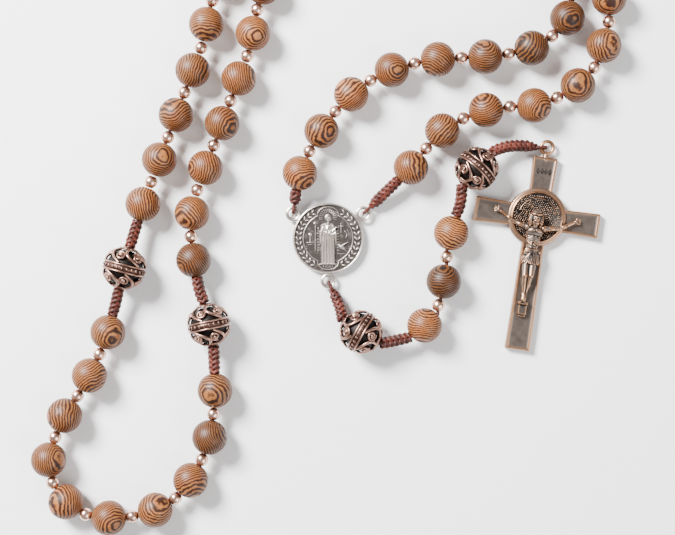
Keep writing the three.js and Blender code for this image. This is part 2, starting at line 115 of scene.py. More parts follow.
# Routes of the string, x and y in metres. The two links are equal and parallel.
OUTER_TOP = (-0.0292, 0.0437)
INNER_TOP = (-0.0186, 0.0418)
OUTER_FOOT = (-0.0407, 0.0129)
INNER_FOOT = (-0.0301, 0.0110)
CRUCIFIX_EYE = (0.0508, 0.0210)
INNER_ROUTE = [
    eye_at("left"), (-0.0064, 0.0152), (-0.0014, 0.0248), (0.0055, 0.0332), (0.0150, 0.0388),
    (0.0260, 0.0412), (0.0370, 0.0418), (0.0475, 0.0440), (0.0550, 0.0505), (0.0555, 0.0595),
    (0.0480, 0.0658), (0.0380, 0.0670), (0.0220, 0.0666), (0.0050, 0.0662), (-0.0080, 0.0644),
    (-0.0150, 0.0575), (-0.0169, 0.0486), INNER_TOP,
]
OUTER_ROUTE = [
    OUTER_TOP, (-0.0270, 0.0532), (-0.0243, 0.0630), (-0.0180, 0.0715), (-0.0070, 0.0766),
    (0.0100, 0.0774), (0.0270, 0.0774), (0.0440, 0.0766), (0.0565, 0.0715), (0.0635, 0.0610),
    (0.0645, 0.0490), (0.0600, 0.0375), (0.0495, 0.0310), (0.0370, 0.0296), (0.0264, 0.0248),
    (0.0191, 0.0163), eye_at("right"),
]
LOOP_END_ROUTE = [
    INNER_FOOT, (-0.0316, 0.0030), (-0.0304, -0.0082), (-0.0266, -0.0234), (-0.0262, -0.0388),
    (-0.0286, -0.0500), (-0.0356, -0.0602), (-0.0465, -0.0642), (-0.0580, -0.0625),
    (-0.0642, -0.0535), (-0.0614, -0.0425), (-0.0556, -0.0330), (-0.0510, -0.0228),
    (-0.0468, -0.0074), (-0.0427, 0.0074), OUTER_FOOT,
]
PENDANT_ROUTE = [
    eye_at("bottom"), (0.0018, -0.0144), (0.0069, -0.0211), (0.0146, -0.0236), (0.0212, -0.0209),
    (0.0248, -0.0166), (0.0264, -0.0112), (0.0270, -0.0058), (0.0280, -0.0002), (0.0302, 0.0076),
    (0.0338, 0.0155), (0.0382, 0.0199), (0.0436, 0.0214), CRUCIFIX_EYE,
]

# How light each wooden bead is, from the choices for the loop and in order on the pendant.
LOOP_TONES = (0.55, 0.75, 0.9, 1.0, 1.1, 1.3)
PENDANT_TONES = (1.35, 0.42, 1.45)

# The crucifix, in its own frame: its eye at the origin and its post down the -Y axis.
CROSS_TILT = math.radians(-8.5)
CROSS_TOP = -2.3 * MM
CROSS_LENGTH = 45 * MM
CROSS_HALF_SPAN = 14.5 * MM
CROSS_HALF_W = 2.5 * MM
CROSS_FLARE = 0.35 * MM
CROSS_ARM = -14 * MM
CROSSING = Vector((0, -16.3 * MM, 0))

# The disc behind the crossing, in millimetres: the level of its field, and the radius of its arcs.
DISC_FIELD_Z = 2.08
DISC_LINE_R = 4.35

# The figure's skin: how fine it is, and its bend, one over a radius in metres, at which it is dark
# in a hollow and bright on a ridge.
FIGURE_GRAIN = 0.08 * MM
FIGURE_HOLLOW = -420
FIGURE_RIDGE = 1500

# The medal's sunk field over its back, and the rows of points that its relief is laid on.
MEDAL_FIELD_Z = 1.55 * MM
MEDAL_ROWS = 130
MEDAL_AROUND = 560

# The openwork beads: how many ribs, petals and dots go round, and the angles of their rows.
RIBS = 6
PETALS = 10
BAND_DOTS = 26
BAND_EDGE = 0.82 * MM
WHORL_POLAR = math.radians(54)
PETAL_POLAR = math.radians(22)

# The plait: how far a strand moves in and out, and points on each turn.
STRANDS_EACH_WAY = 4
WEAVE = 0.16 * MM
PLAIT_STEPS = 20

# The stage: half the floor, the even light, the lamps with their size and power, and the camera.
FLOOR_HALF = 2.5
EVEN_LIGHT = 0.45
LAMPS = (
    ("window", (-0.34, 0.30, 0.42), 0.20, 21.0),
    ("fill", (0.45, -0.35, 0.50), 0.5, 5.0),
)
CAMERA_X = 2.18 * MM
CAMERA_Y = -6.78 * MM
LENS = 69.6


class RosaryColours(bpy.types.PropertyGroup):
    """The finishes that a maker would change."""

    wood_light: bpy.props.FloatVectorProperty(
        name="Light wood", description="Colour between the dark stripes of the wooden beads",
        subtype="COLOR", size=3, min=0, max=1, default=(0.265, 0.100, 0.029))
    wood_dark: bpy.props.FloatVectorProperty(
        name="Dark stripe", description="Colour of the fine dark stripes",
        subtype="COLOR", size=3, min=0, max=1, default=(0.024, 0.0065, 0.0022))
    copper: bpy.props.FloatVectorProperty(
        name="Copper", description="Colour of the polished copper balls",
        subtype="COLOR", size=3, min=0, max=1, default=(0.86, 0.54, 0.41))
    antique_bright: bpy.props.FloatVectorProperty(
        name="Antique copper, worn", description="Colour of the openwork beads' raised wires",
        subtype="COLOR", size=3, min=0, max=1, default=(0.36, 0.205, 0.155))
    # The dark end of the openwork beads' tones: dark patina in the recesses of the wires, and painted
    # shade on the inner ball, which stands for the dark inside of the hollow bead.
    antique_dark_and_inner_shade: bpy.props.FloatVectorProperty(
        name="Antique copper, dark", description="Colour of the openwork beads' hollows",
        subtype="COLOR", size=3, min=0, max=1, default=(0.008, 0.005, 0.004))
    cross_bright: bpy.props.FloatVectorProperty(
        name="Crucifix copper, worn", description="Colour of the crucifix's raised edges",
        subtype="COLOR", size=3, min=0, max=1, default=(0.46, 0.240, 0.130))
    bronze: bpy.props.FloatVectorProperty(
        name="Medal bronze", description="Colour of the medal's raised relief",
        subtype="COLOR", size=3, min=0, max=1, default=(0.84, 0.76, 0.70))
    cord: bpy.props.FloatVectorProperty(
        name="Cord", description="Colour of the plaited cord",
        subtype="COLOR", size=3, min=0, max=1, default=(0.072, 0.0105, 0.0042))
    backdrop: bpy.props.FloatVectorProperty(
        name="Floor", description="Colour of the floor under the rosary",
        subtype="COLOR", size=3, min=0, max=1, default=(0.93, 0.93, 0.93))


class RosarySizes(bpy.types.PropertyGroup):
    """The sizes that a maker would change without moving a piece."""

    stripe: bpy.props.FloatProperty(
        name="Wood stripe", description="Distance from one dark stripe of the wood to the next",
        subtype="DISTANCE", unit="LENGTH", min=0.2 * MM, max=2 * MM, default=0.60 * MM)
    knot_radius: bpy.props.FloatProperty(
        name="Knot radius", description="Outer radius of the plaited knots",
        subtype="DISTANCE", unit="LENGTH", min=0.8 * MM, max=2 * MM, default=1.38 * MM)
    strand_radius: bpy.props.FloatProperty(
        name="Strand radius", description="Radius of one strand of a plaited knot",
        subtype="DISTANCE", unit="LENGTH", min=0.2 * MM, max=0.6 * MM, default=0.40 * MM)
    plait_pitch: bpy.props.FloatProperty(
        name="Plait pitch", description="Length of knot in which a strand goes once round",
        subtype="DISTANCE", unit="LENGTH", min=2 * MM, max=10 * MM, default=4.8 * MM)
    camera_height: bpy.props.FloatProperty(
        name="Camera height", description="Height of the camera over the rosary",
        subtype="DISTANCE", unit="LENGTH", min=0.1, max=1, default=0.304)
    seed: bpy.props.IntProperty(
        name="Seed", description="Start of the random turns of the wooden beads", min=0, default=7)


def colours():
    """The colours that the scene holds."""
    return bpy.context.scene.rosary_colours


def sizes():
    """The sizes that the scene holds."""
    return bpy.context.scene.rosary_sizes


# ---- the string ----------------------------------------------------------------------------------

class Item:
    """One thing on a string: a bead, a spacer, a knot, a bend of the cord or an eye."""

    def __init__(self, kind, step, decade=0, number=0):
        self.kind = kind
        self.step = step
        self.decade = decade
        self.number = number
        self.at = None


def route_curve(points):
    """A centripetal curve through points: a function of 0 to 1."""
    points = [np.array(point) for point in points]
    last = len(points) - 1

    def curve(t):
        place = last * t
        index = min(int(place), last - 1)
        share = place - index
        near, far = points[index], points[index + 1]
        before = points[index - 1] if index > 0 else 2 * near - far
        after = points[index + 2] if index + 2 <= last else 2 * far - near
        gap_before, gap, gap_after = (
            math.sqrt(np.linalg.norm(b - a)) for a, b in ((before, near), (near, far), (far, after)))
        start = (near - before) / gap_before - (far - before) / (gap_before + gap) + (far - near) / gap
        end = (far - near) / gap - (after - near) / (gap + gap_after) + (after - far) / gap_after
        start, end = start * gap, end * gap
        cubic = 2 * near - 2 * far + start + end
        square = -3 * near + 3 * far - 2 * start - end
        return near + start * share + square * share ** 2 + cubic * share ** 3

    return curve


def string(route, items):
    """Gives each item its place, in proportion to its nominal distance along the route."""
    curve = route_curve(route)
    samples = np.array([curve(i / ROUTE_SAMPLES) for i in range(ROUTE_SAMPLES + 1)])
    lengths = np.concatenate([[0], np.cumsum(np.linalg.norm(np.diff(samples, axis=0), axis=1))])
    distances = np.cumsum([0] + [item.step for item in items[1:]])
    for item, distance in zip(items, distances * lengths[-1] / distances[-1]):
        share = np.interp(distance, lengths, np.linspace(0, 1, ROUTE_SAMPLES + 1))
        x, y = curve(share)
        item.at = Vector((x, y, HEIGHT[item.kind]))
    return items


def decade(number, first, last, step=SPACER_STEP):
    """The beads of a decade, counted up or down, with a spacer between each two."""
    way = 1 if last >= first else -1
    items = []
    for bead in range(first, last + way, way):
        if items:
            items.append(Item("spacer", SPACER_STEP, number))
        items.append(Item("bead", SPACER_STEP if items else step, number, bead))
    return items


def large(number):
    """A large bead with the knot on each side of it."""
    return [
        Item("knot", KNOT_FROM_BEAD),
        Item("large", KNOT_FROM_LARGE_BEAD, number=number),
        Item("knot", KNOT_FROM_LARGE_BEAD),
    ]


def spacer(number):
    """The copper ball beside a bead of a decade."""
    return Item("spacer", SPACER_STEP, number)


STRINGS = {
    "inner": string(INNER_ROUTE, [
        Item("eye", 0), Item("bend", SHORT_EYE_KNOT[0]), *decade(1, 1, 1, SHORT_EYE_KNOT[1]),
        spacer(1), *decade(1, 2, 10), *large(1), *decade(2, 1, 5, KNOT_FROM_BEAD), spacer(2),
    ]),
    "loop_end": string(LOOP_END_ROUTE, [
        spacer(2), *decade(2, 9, 10), *large(2), *decade(3, 1, 10, KNOT_FROM_BEAD), *large(3),
        *decade(4, 1, 1, KNOT_FROM_BEAD), spacer(4),
    ]),
    "outer": string(OUTER_ROUTE, [
        spacer(4), *decade(4, 5, 10), *large(4), *decade(5, 10, 1, KNOT_FROM_BEAD),
        Item("bend", LONG_EYE_KNOT[0]), Item("eye", LONG_EYE_KNOT[1]),
    ]),
    "outer_link": string([OUTER_FOOT, OUTER_TOP], [spacer(4), *decade(4, 2, 4), spacer(4)]),
    "inner_link": string([INNER_TOP, INNER_FOOT], [spacer(2), *decade(2, 6, 8), spacer(2)]),
    "pendant": string(PENDANT_ROUTE, [
        Item("eye", 0), Item("bend", PENDANT_EYE_KNOT[0]),
        Item("large", PENDANT_EYE_KNOT[1], number=5), Item("knot", KNOT_FROM_LARGE_BEAD),
        *decade(6, 1, 3, KNOT_FROM_BEAD), *large(6)[:2],
        Item("bend", CRUCIFIX_EYE_KNOT[0]), Item("eye", CRUCIFIX_EYE_KNOT[1]),
    ]),
}
STRING_BODY = {
    "inner": "rosary_loop", "outer": "rosary_loop", "loop_end": "loop_end",
    "outer_link": "outer_link", "inner_link": "inner_link",
}


def heading(items, index):
    """The direction of a string at one of its items."""
    before = items[max(index - 1, 0)].at
    after = items[min(index + 1, len(items) - 1)].at
    return (after - before).normalized()


def spins(items, index):
    """Whether a bead turns on the cord by itself, so that the cord runs straight through it."""
    pendant_bead = items is STRINGS["pendant"] and items[index].kind == "bead"
    return items[index].kind == "large" or pendant_bead


def face_at(items, index, side, clear=KNOT_CLEAR):
    """The point of the cord just outside a bead, before it (-1) or after it (1)."""
    item = items[index]
    reach = (LARGE_BEAD_R if item.kind == "large" else BEAD_R) + clear
    if spins(items, index):
        return item.at + heading(items, index) * side * reach
    return item.at + (items[index + side].at - item.at).normalized() * reach


# ---- geometry nodes ------------------------------------------------------------------------------

class Tree:
    """A geometry node tree with named inputs."""

    def __init__(self, name, inputs):
        self.group = bpy.data.node_groups.new(name, "GeometryNodeTree")
        face = self.group.interface
        face.new_socket(name="Geometry", in_out="INPUT", socket_type="NodeSocketGeometry")
        for label, kind in inputs.items():
            face.new_socket(name=label, in_out="INPUT", socket_type=kind)
        face.new_socket(name="Geometry", in_out="OUTPUT", socket_type="NodeSocketGeometry")
        self.start = self.node("NodeGroupInput")
        self.end = self.node("NodeGroupOutput")

    def node(self, kind, inputs=None, **settings):
        """A node with its settings, and its inputs given as values or as sockets to link."""
        made = self.group.nodes.new(kind)
        for setting, value in settings.items():
            setattr(made, setting, value)
        for label, value in (inputs or {}).items():
            if isinstance(value, bpy.types.NodeSocket):
                self.group.links.new(value, made.inputs[label])
            else:
                made.inputs[label].default_value = value
        return made

    def attribute(self, name, kind):
        return self.node("GeometryNodeInputNamedAttribute", {"Name": name}, data_type=kind).outputs[0]

    def finish(self, geometry):
        """Ends the tree in Realize Instances and Set Material."""
        real = self.node("GeometryNodeRealizeInstances", {"Geometry": geometry})
        painted = self.node("GeometryNodeSetMaterial", {
            "Geometry": real.outputs[0], "Material": self.start.outputs["Material"]})
        self.group.links.new(painted.outputs[0], self.end.inputs[0])
        return self.group


def ball_tree():
    """Balls threaded on points, each with the grain of its wood turned at random."""
    tree = Tree("threaded_balls", {
        "Ball": "NodeSocketObject", "Seed": "NodeSocketInt", "Material": "NodeSocketMaterial"})
    ball = tree.node("GeometryNodeObjectInfo", {"Object": tree.start.outputs["Ball"]})
    place = tree.node("GeometryNodeInputPosition")
    local = tree.node("GeometryNodeStoreNamedAttribute", {
        "Geometry": ball.outputs["Geometry"], "Name": "local", "Value": place.outputs[0]},
        data_type="FLOAT_VECTOR", domain="POINT")
    along = tree.node("FunctionNodeAlignRotationToVector", {
        "Vector": tree.attribute("way", "FLOAT_VECTOR")}, axis="Y")
    threaded = tree.node("GeometryNodeInstanceOnPoints", {
        "Points": tree.start.outputs["Geometry"], "Instance": local.outputs[0],
        "Rotation": along.outputs[0]})
    turn = tree.node("FunctionNodeRandomValue", {"Seed": tree.start.outputs["Seed"]},
                     data_type="FLOAT_VECTOR")
    turn.inputs[0].default_value = (0, 0, 0)
    turn.inputs[1].default_value = (math.tau, math.tau, math.tau)
    kept = tree.node("GeometryNodeStoreNamedAttribute", {
        "Geometry": threaded.outputs[0], "Name": "turn", "Value": turn.outputs[0]},
        data_type="FLOAT_VECTOR", domain="INSTANCE")
    real = tree.node("GeometryNodeRealizeInstances", {"Geometry": kept.outputs[0]})
    angles = tree.attribute("turn", "FLOAT_VECTOR")
    rotation = tree.node("FunctionNodeEulerToRotation", {"Euler": angles})
    turned = tree.node("FunctionNodeRotateVector", {
        "Vector": tree.attribute("local", "FLOAT_VECTOR"), "Rotation": rotation.outputs[0]})
    shift = tree.node("ShaderNodeVectorMath", operation="SCALE")
    tree.group.links.new(angles, shift.inputs[0])
    shift.inputs["Scale"].default_value = 0.9 * MM
    grain = tree.node("ShaderNodeVectorMath", operation="ADD")
    tree.group.links.new(turned.outputs[0], grain.inputs[0])
    tree.group.links.new(shift.outputs[0], grain.inputs[1])
    grained = tree.node("GeometryNodeStoreNamedAttribute", {
        "Geometry": real.outputs[0], "Name": "grain", "Value": grain.outputs[0]},
        data_type="FLOAT_VECTOR", domain="POINT")
    return tree.finish(grained.outputs[0])


def strand_tree():
    """Round strands or wires swept along edges, as thick as each point says."""
    tree = Tree("round_strands", {"Sides": "NodeSocketInt", "Material": "NodeSocketMaterial"})
    paths = tree.node("GeometryNodeMeshToCurve", {"Mesh": tree.start.outputs["Geometry"]})
    circle = tree.node("GeometryNodeCurvePrimitiveCircle", {
        "Resolution": tree.start.outputs["Sides"], "Radius": 1.0})
    swept = tree.node("GeometryNodeCurveToMesh", {
        "Curve": paths.outputs[0], "Profile Curve": circle.outputs[0],
        "Scale": tree.attribute("thick", "FLOAT"), "Fill Caps": True})
    smooth = tree.node("GeometryNodeSetShadeSmooth", {"Geometry": swept.outputs[0]})
    return tree.finish(smooth.outputs[0])


def stud_tree():
    """Small studs on points, each as large as its point says and laid along its direction."""
    tree = Tree("studs", {"Stud": "NodeSocketObject", "Material": "NodeSocketMaterial"})
    stud = tree.node("GeometryNodeObjectInfo", {"Object": tree.start.outputs["Stud"]})
    along = tree.node("FunctionNodeAlignRotationToVector", {
        "Vector": tree.attribute("way", "FLOAT_VECTOR")}, axis="Y")
    set_out = tree.node("GeometryNodeInstanceOnPoints", {
        "Points": tree.start.outputs["Geometry"], "Instance": stud.outputs["Geometry"],
        "Rotation": along.outputs[0], "Scale": tree.attribute("size", "FLOAT_VECTOR")})
    return tree.finish(set_out.outputs[0])


def grown(mesh, tree, inputs):
    """What a tree makes of a mesh, as a plain mesh."""
    carrier = bpy.data.objects.new("carrier", mesh)
    bpy.context.collection.objects.link(carrier)
    modifier = carrier.modifiers.new("grown", "NODES")
    modifier.node_group = tree
    for socket in tree.interface.items_tree:
        if socket.item_type == "SOCKET" and socket.in_out == "INPUT" and socket.name in inputs:
            modifier[socket.identifier] = inputs[socket.name]
    carrier.update_tag()
    graph = bpy.context.evaluated_depsgraph_get()
    made = bpy.data.meshes.new_from_object(
        carrier.evaluated_get(graph), preserve_all_data_layers=True, depsgraph=graph)
    carrier.modifiers.remove(modifier)
    bpy.data.objects.remove(carrier)
    return made


def tree_named(name, make):
    """A tree that is made once and then used again."""
    return bpy.data.node_groups.get(name) or make()


def point_mesh(points, **attributes):
    """A mesh of loose points with a float or vector attribute for each name."""
    mesh = bpy.data.meshes.new("points")
    mesh.from_pydata([tuple(point) for point in points], [], [])
    for name, values in attributes.items():
        values = np.array([tuple(v) if hasattr(v, "__len__") else v for v in values], dtype=float)
        kind = "FLOAT_VECTOR" if values.ndim == 2 else "FLOAT"
        layer = mesh.attributes.new(name, kind, "POINT")
        layer.data.foreach_set("vector" if values.ndim == 2 else "value", values.ravel())
    return mesh


def strands(paths, material, sides=8):
    """Round strands along paths of (point, radius) lists. A path may be marked as closed."""
    points, edges, thick = [], [], []
    for path, closed in paths:
        first = len(points)
        for point, radius in path:
            points.append(tuple(point))
            thick.append(radius)
        edges += [(i, i + 1) for i in range(first, len(points) - 1)]
        if closed:
            edges.append((len(points) - 1, first))
    mesh = bpy.data.meshes.new("paths")
    mesh.from_pydata(points, edges, [])
    layer = mesh.attributes.new("thick", "FLOAT", "POINT")
    layer.data.foreach_set("value", thick)
    tree = tree_named("round_strands", strand_tree)
    return grown(mesh, tree, {"Sides": sides, "Material": material})


def studs(points, ways, scales, material, around=8, rings=5):
    """Small rounded studs on points, each with its direction and its three half sizes."""
    pattern = bpy.data.objects.new("stud", ball_mesh(1, around, rings))
    bpy.context.collection.objects.link(pattern)
    mesh = point_mesh(points, way=ways, size=scales)
    made = grown(mesh, tree_named("studs", stud_tree), {"Stud": pattern, "Material": material})
    bpy.data.objects.remove(pattern)
    return made


# ---- meshes --------------------------------------------------------------------------------------

def lathe(profile, around, closed=False):
    """A profile of (radius, distance along) turned about the Y axis. A closed one is a ring."""
    mesh = bpy.data.meshes.new("lathe")
    shape = bmesh.new()
    rows = []
    for radius, along in profile:
        if radius <= 0:
            rows.append([shape.verts.new((0, along, 0))] * around)
            continue
        rows.append([
            shape.verts.new((radius * math.cos(turn), along, radius * math.sin(turn)))
            for turn in (math.tau * i / around for i in range(around))])
    pairs = list(zip(rows, rows[1:])) + ([(rows[-1], rows[0])] if closed else [])
    for low, high in pairs:
        for i in range(around):
            j = (i + 1) % around
            corners = []
            for corner in (low[i], low[j], high[j], high[i]):
                if corner not in corners:
                    corners.append(corner)
            if len(corners) > 2:
                shape.faces.new(corners)
    bmesh.ops.recalc_face_normals(shape, faces=shape.faces)
    for face in shape.faces:
        face.smooth = True
    shape.to_mesh(mesh)
    shape.free()
    return mesh


def ball_mesh(radius, around, rings):
    """A closed ball about the Y axis."""
    turns = [math.pi * i / rings for i in range(rings + 1)]
    profile = [(radius * math.sin(turn), -radius * math.cos(turn)) for turn in turns]
    profile[0] = (0, -radius)
    profile[-1] = (0, radius)
    return lathe(profile, around)


def bored_ball(radius, bore, lip, around, rings):
    """A ball bored along Y with a rounded lip at each end of the bore."""
    start = math.asin((bore + lip) / radius)
    turns = [start + (math.pi - 2 * start) * i / rings for i in range(rings + 1)]
    outside = [(radius * math.sin(turn), -radius * math.cos(turn)) for turn in turns]
    end = radius * math.cos(start)
    edge = [(bore + lip * 0.35, end + lip * 0.02), (bore, end - lip * 0.6)]
    profile = outside + edge + [(r, -along) for r, along in reversed(edge)]
    return lathe(profile, around, closed=True)


def placed(mesh, matrix):
    """The same mesh, moved and turned."""
    mesh.transform(matrix)
    mesh.update()
    return mesh


def along_y(centre, way, roll=0.0):
    """The frame at a centre whose Y axis runs along a direction and whose Z axis is nearly up."""
    y = way.normalized()
    x = y.cross(Vector((0, 0, 1))).normalized()
    z = x.cross(y)
    axes = Matrix((x, y, z)).transposed().to_4x4()
    return Matrix.Translation(centre) @ axes @ Matrix.Rotation(roll, 4, "Y")


def combined(name, meshes, material=None):
    """One object of several meshes. Those with no material of their own get the one given."""
    objects = []
    for mesh in meshes:
        if material and not mesh.materials:
            mesh.materials.append(material)
        piece = bpy.data.objects.new(name, mesh)
        bpy.context.collection.objects.link(piece)
        objects.append(piece)
    if len(objects) > 1:
        with bpy.context.temp_override(active_object=objects[0], selected_editable_objects=objects):
            bpy.ops.object.join()
    objects[0].name = name
    return objects[0]


def mark(mesh, name, values):
    """Gives each point of a mesh a number."""
    layer = mesh.attributes.get(name) or mesh.attributes.new(name, "FLOAT", "POINT")
    layer.data.foreach_set("value", np.asarray(values, dtype=np.float32))


def corners_of(mesh):
    """The places of a mesh's points, one row for each."""
    places = np.empty(len(mesh.vertices) * 3)
    mesh.vertices.foreach_get("co", places)
    return places.reshape(-1, 3)


def settle(piece, body, replaced=()):
    """Ties a finished piece to its body, and hides what it stands for."""
    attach(piece, body)
    if replaced:
        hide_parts(*replaced)


# ---- finishes ------------------------------------------------------------------------------------

class Finish:
    """A material built node by node."""

    def __init__(self, name):
        self.material = bpy.data.materials.new(name)
        self.material.use_nodes = True
        self.nodes = self.material.node_tree.nodes
        self.links = self.material.node_tree.links
        self.shader = self.nodes["Principled BSDF"]

    def node(self, kind, inputs=None, **settings):
        made = self.nodes.new(kind)
        for setting, value in settings.items():
            setattr(made, setting, value)
        for label, value in (inputs or {}).items():
            if isinstance(value, bpy.types.NodeSocket):
                self.links.new(value, made.inputs[label])
            else:
                made.inputs[label].default_value = value
        return made

    def math(self, operation, first, second=0.0):
        return self.node("ShaderNodeMath", {0: first, 1: second}, operation=operation).outputs[0]

    def ramp(self, factor, stops):
        """A colour ramp of (place, colour) stops."""
        made = self.node("ShaderNodeValToRGB", {"Fac": factor})
        steps = made.color_ramp.elements
        while len(steps) < len(stops):
            steps.new(0.5)
        for step, (place, colour) in zip(steps, stops):
            step.position = place
            step.color = (*colour, 1)
        return made.outputs["Color"]

    def grey(self, factor, stops):
        return self.ramp(factor, [(place, (level,) * 3) for place, level in stops])

    def noise(self, vector, scale, detail=3.0, roughness=0.5):
        return self.node("ShaderNodeTexNoise", {
            "Vector": vector, "Scale": scale, "Detail": detail, "Roughness": roughness}).outputs["Fac"]

    def mix(self, factor, first, second, blend="MIX"):
        made = self.node("ShaderNodeMix", data_type="RGBA", blend_type=blend)
        sockets = (made.inputs[0], made.inputs[6], made.inputs[7])
        for socket, value in zip(sockets, (factor, first, second)):
            if isinstance(value, bpy.types.NodeSocket):
                self.links.new(value, socket)
            elif socket.type == "RGBA":
                socket.default_value = (*value, 1)
            else:
                socket.default_value = value
        return made.outputs[2]

    def attribute(self, name, output="Fac"):
        return self.node("ShaderNodeAttribute", attribute_name=name).outputs[output]

    def objects(self):
        return self.node("ShaderNodeTexCoord").outputs["Object"]

    def bump(self, height, strength, distance):
        made = self.node("ShaderNodeBump", {
            "Height": height, "Strength": strength, "Distance": distance})
        self.links.new(made.outputs[0], self.shader.inputs["Normal"])

    def surface(self, **inputs):
        for label, value in inputs.items():
            socket = self.shader.inputs[label.replace("_", " ")]
            if isinstance(value, bpy.types.NodeSocket):
                self.links.new(value, socket)
            elif hasattr(value, "__len__"):
                socket.default_value = (*value, 1)
            else:
                socket.default_value = value
        return self.material


def finish_named(name, make):
    """A material that is made once and then used again."""
    return bpy.data.materials.get(name) or make(Finish(name))


def wood(finish):
    """Fine wavy dark stripes round a grain that is turned at random in each bead."""
    tint = colours()
    grain = finish.attribute("grain", "Vector")
    waves = finish.noise(grain, 210, 2.0, 0.4)
    fine = finish.noise(grain, 1500, 2.0, 0.5)
    parts = finish.node("ShaderNodeSeparateXYZ", {0: grain})
    across = finish.math("POWER", parts.outputs[0], 2.0)
    up = finish.math("POWER", parts.outputs[1], 2.0)
    bowl = finish.math("MULTIPLY", finish.math("ADD", across, up), 45.0)
    depth = finish.math("ADD", parts.outputs[2], bowl)
    wavy = finish.math("MULTIPLY", finish.math("SUBTRACT", waves, 0.5), 2.6 * MM)
    ragged = finish.math("MULTIPLY", finish.math("SUBTRACT", fine, 0.5), 0.30 * MM)
    warped = finish.math("ADD", finish.math("ADD", depth, wavy), ragged)
    turns = finish.math("MULTIPLY", warped, math.tau / sizes().stripe)
    stripe = finish.math("ADD", finish.math("MULTIPLY", finish.math("SINE", turns), 0.5), 0.5)
    middle = tuple(0.35 * a + 0.65 * b for a, b in zip(tint.wood_light, tint.wood_dark))
    striped = finish.ramp(stripe, [(0.26, tint.wood_dark), (0.50, middle), (0.80, tint.wood_light)])
    patches = finish.noise(grain, 260, 2.0)
    pores = finish.grey(finish.noise(grain, 3200, 3.0, 0.65), [(0.35, 0.62), (0.60, 1.12)])
    tone = finish.math("MULTIPLY", finish.attribute("tone"), pores)
    level = finish.node("ShaderNodeCombineColor", {"Red": tone, "Green": tone, "Blue": tone})
    toned = finish.mix(1.0, striped, level.outputs[0], "MULTIPLY")
    redder = finish.mix(finish.grey(patches, [(0.35, 0.0), (0.70, 0.5)]), toned,
                        (0.95, 0.62, 0.42), "MULTIPLY")
    finish.bump(stripe, 0.25, 0.02 * MM)
    return finish.surface(
        Base_Color=redder, Roughness=finish.grey(stripe, [(0.0, 0.55), (1.0, 0.42)]),
        Specular_IOR_Level=0.28)


def polished_copper(finish):
    """Bright copper with a little tarnish and fine scratches."""
    tint = colours()
    place = finish.objects()
    cloud = finish.noise(place, 420, 3.0)
    fine = finish.noise(place, 2600, 2.0)
    darker = tuple(0.62 * c for c in tint.copper)
    colour = finish.ramp(cloud, [(0.32, darker), (0.58, tint.copper)])
    finish.bump(fine, 0.08, 0.02 * MM)
    return finish.surface(
        Base_Color=colour, Metallic=1.0, Roughness=finish.grey(fine, [(0.3, 0.18), (0.7, 0.32)]))


def antique(finish, tones, levels, rough=0.30):
    """Cast metal, from a dark to a bright tone as the wear at each point passes three levels."""
    low, _, high = levels
    place = finish.objects()
    cloud = finish.noise(place, 700, 4.0, 0.6)
    grit = finish.noise(place, 3800, 3.0, 0.6)
    patches = finish.math("MULTIPLY", finish.math("SUBTRACT", cloud, 0.5), 0.55)
    uneven = finish.math("ADD", finish.attribute("wear"), patches)
    finish.bump(grit, 0.22, 0.03 * MM)
    return finish.surface(
        Base_Color=finish.ramp(uneven, list(zip(levels, tones))),
        Metallic=finish.grey(uneven, [(low, 0.75), (high, 1.0)]),
        Roughness=finish.grey(uneven, [(low, 0.52), (high, rough)]))


def antique_copper(finish):
    """The openwork beads: rose copper with dark patina in its recesses, over an inner ball in near-black
    that is painted shade for the dark inside of the hollow bead.
    """
    tint = colours()
    tones = (tint.antique_dark_and_inner_shade, (0.070, 0.036, 0.028), tint.antique_bright)
    return antique(finish, tones, (0.30, 0.65, 1.0))


def antique_cross(finish):
    """The crucifix and its figure: warm copper edges over a grey-brown field."""
    tones = ((0.009, 0.007, 0.006), (0.150, 0.118, 0.100), colours().cross_bright)
    return antique(finish, tones, (0.05, 0.50, 0.95))


def medal_bronze(finish):
    """The medal: a pale worn relief over a dark grey field."""
    tones = ((0.040, 0.033, 0.029), (0.330, 0.290, 0.265), colours().bronze)
    return antique(finish, tones, (0.0, 0.40, 0.85), rough=0.26)


def plait_finish(finish):
    """Waxed thread: fine fibres along the strand and a lighter and darker rust red."""
    tint = colours()
    place = finish.objects()
    fibres = finish.noise(place, 5200, 3.0, 0.7)
    cloud = finish.noise(place, 500, 2.0)
    darker = tuple(0.45 * c for c in tint.cord)
    lighter = tuple(2.2 * c + 0.012 for c in tint.cord)
    base = finish.ramp(cloud, [(0.30, darker), (0.50, tint.cord), (0.70, lighter)])
    colour = finish.mix(finish.grey(fibres, [(0.40, 0.0), (0.62, 0.8)]), base, darker)
    finish.bump(fibres, 0.5, 0.05 * MM)
    return finish.surface(Base_Color=colour, Roughness=0.5, Specular_IOR_Level=0.35)


def floor_finish(finish):
    """A plain pale matt surface."""
    tint = colours()
    dust = finish.noise(finish.objects(), 900, 2.0)
    low = tuple(0.985 * c for c in tint.backdrop)
    return finish.surface(
        Base_Color=finish.ramp(dust, [(0.3, low), (0.7, tint.backdrop)]), Roughness=0.85)


# ---- cord ----------------------------------------------------------------------------------------

def bent(start, middle, end, count):
    """Points on the smooth bend from start to end that passes through the middle."""
    pull = 2 * middle - (start + end) / 2
    shares = [i / (count - 1) for i in range(count)]
    return [start * (1 - t) ** 2 + pull * 2 * t * (1 - t) + end * t ** 2 for t in shares]


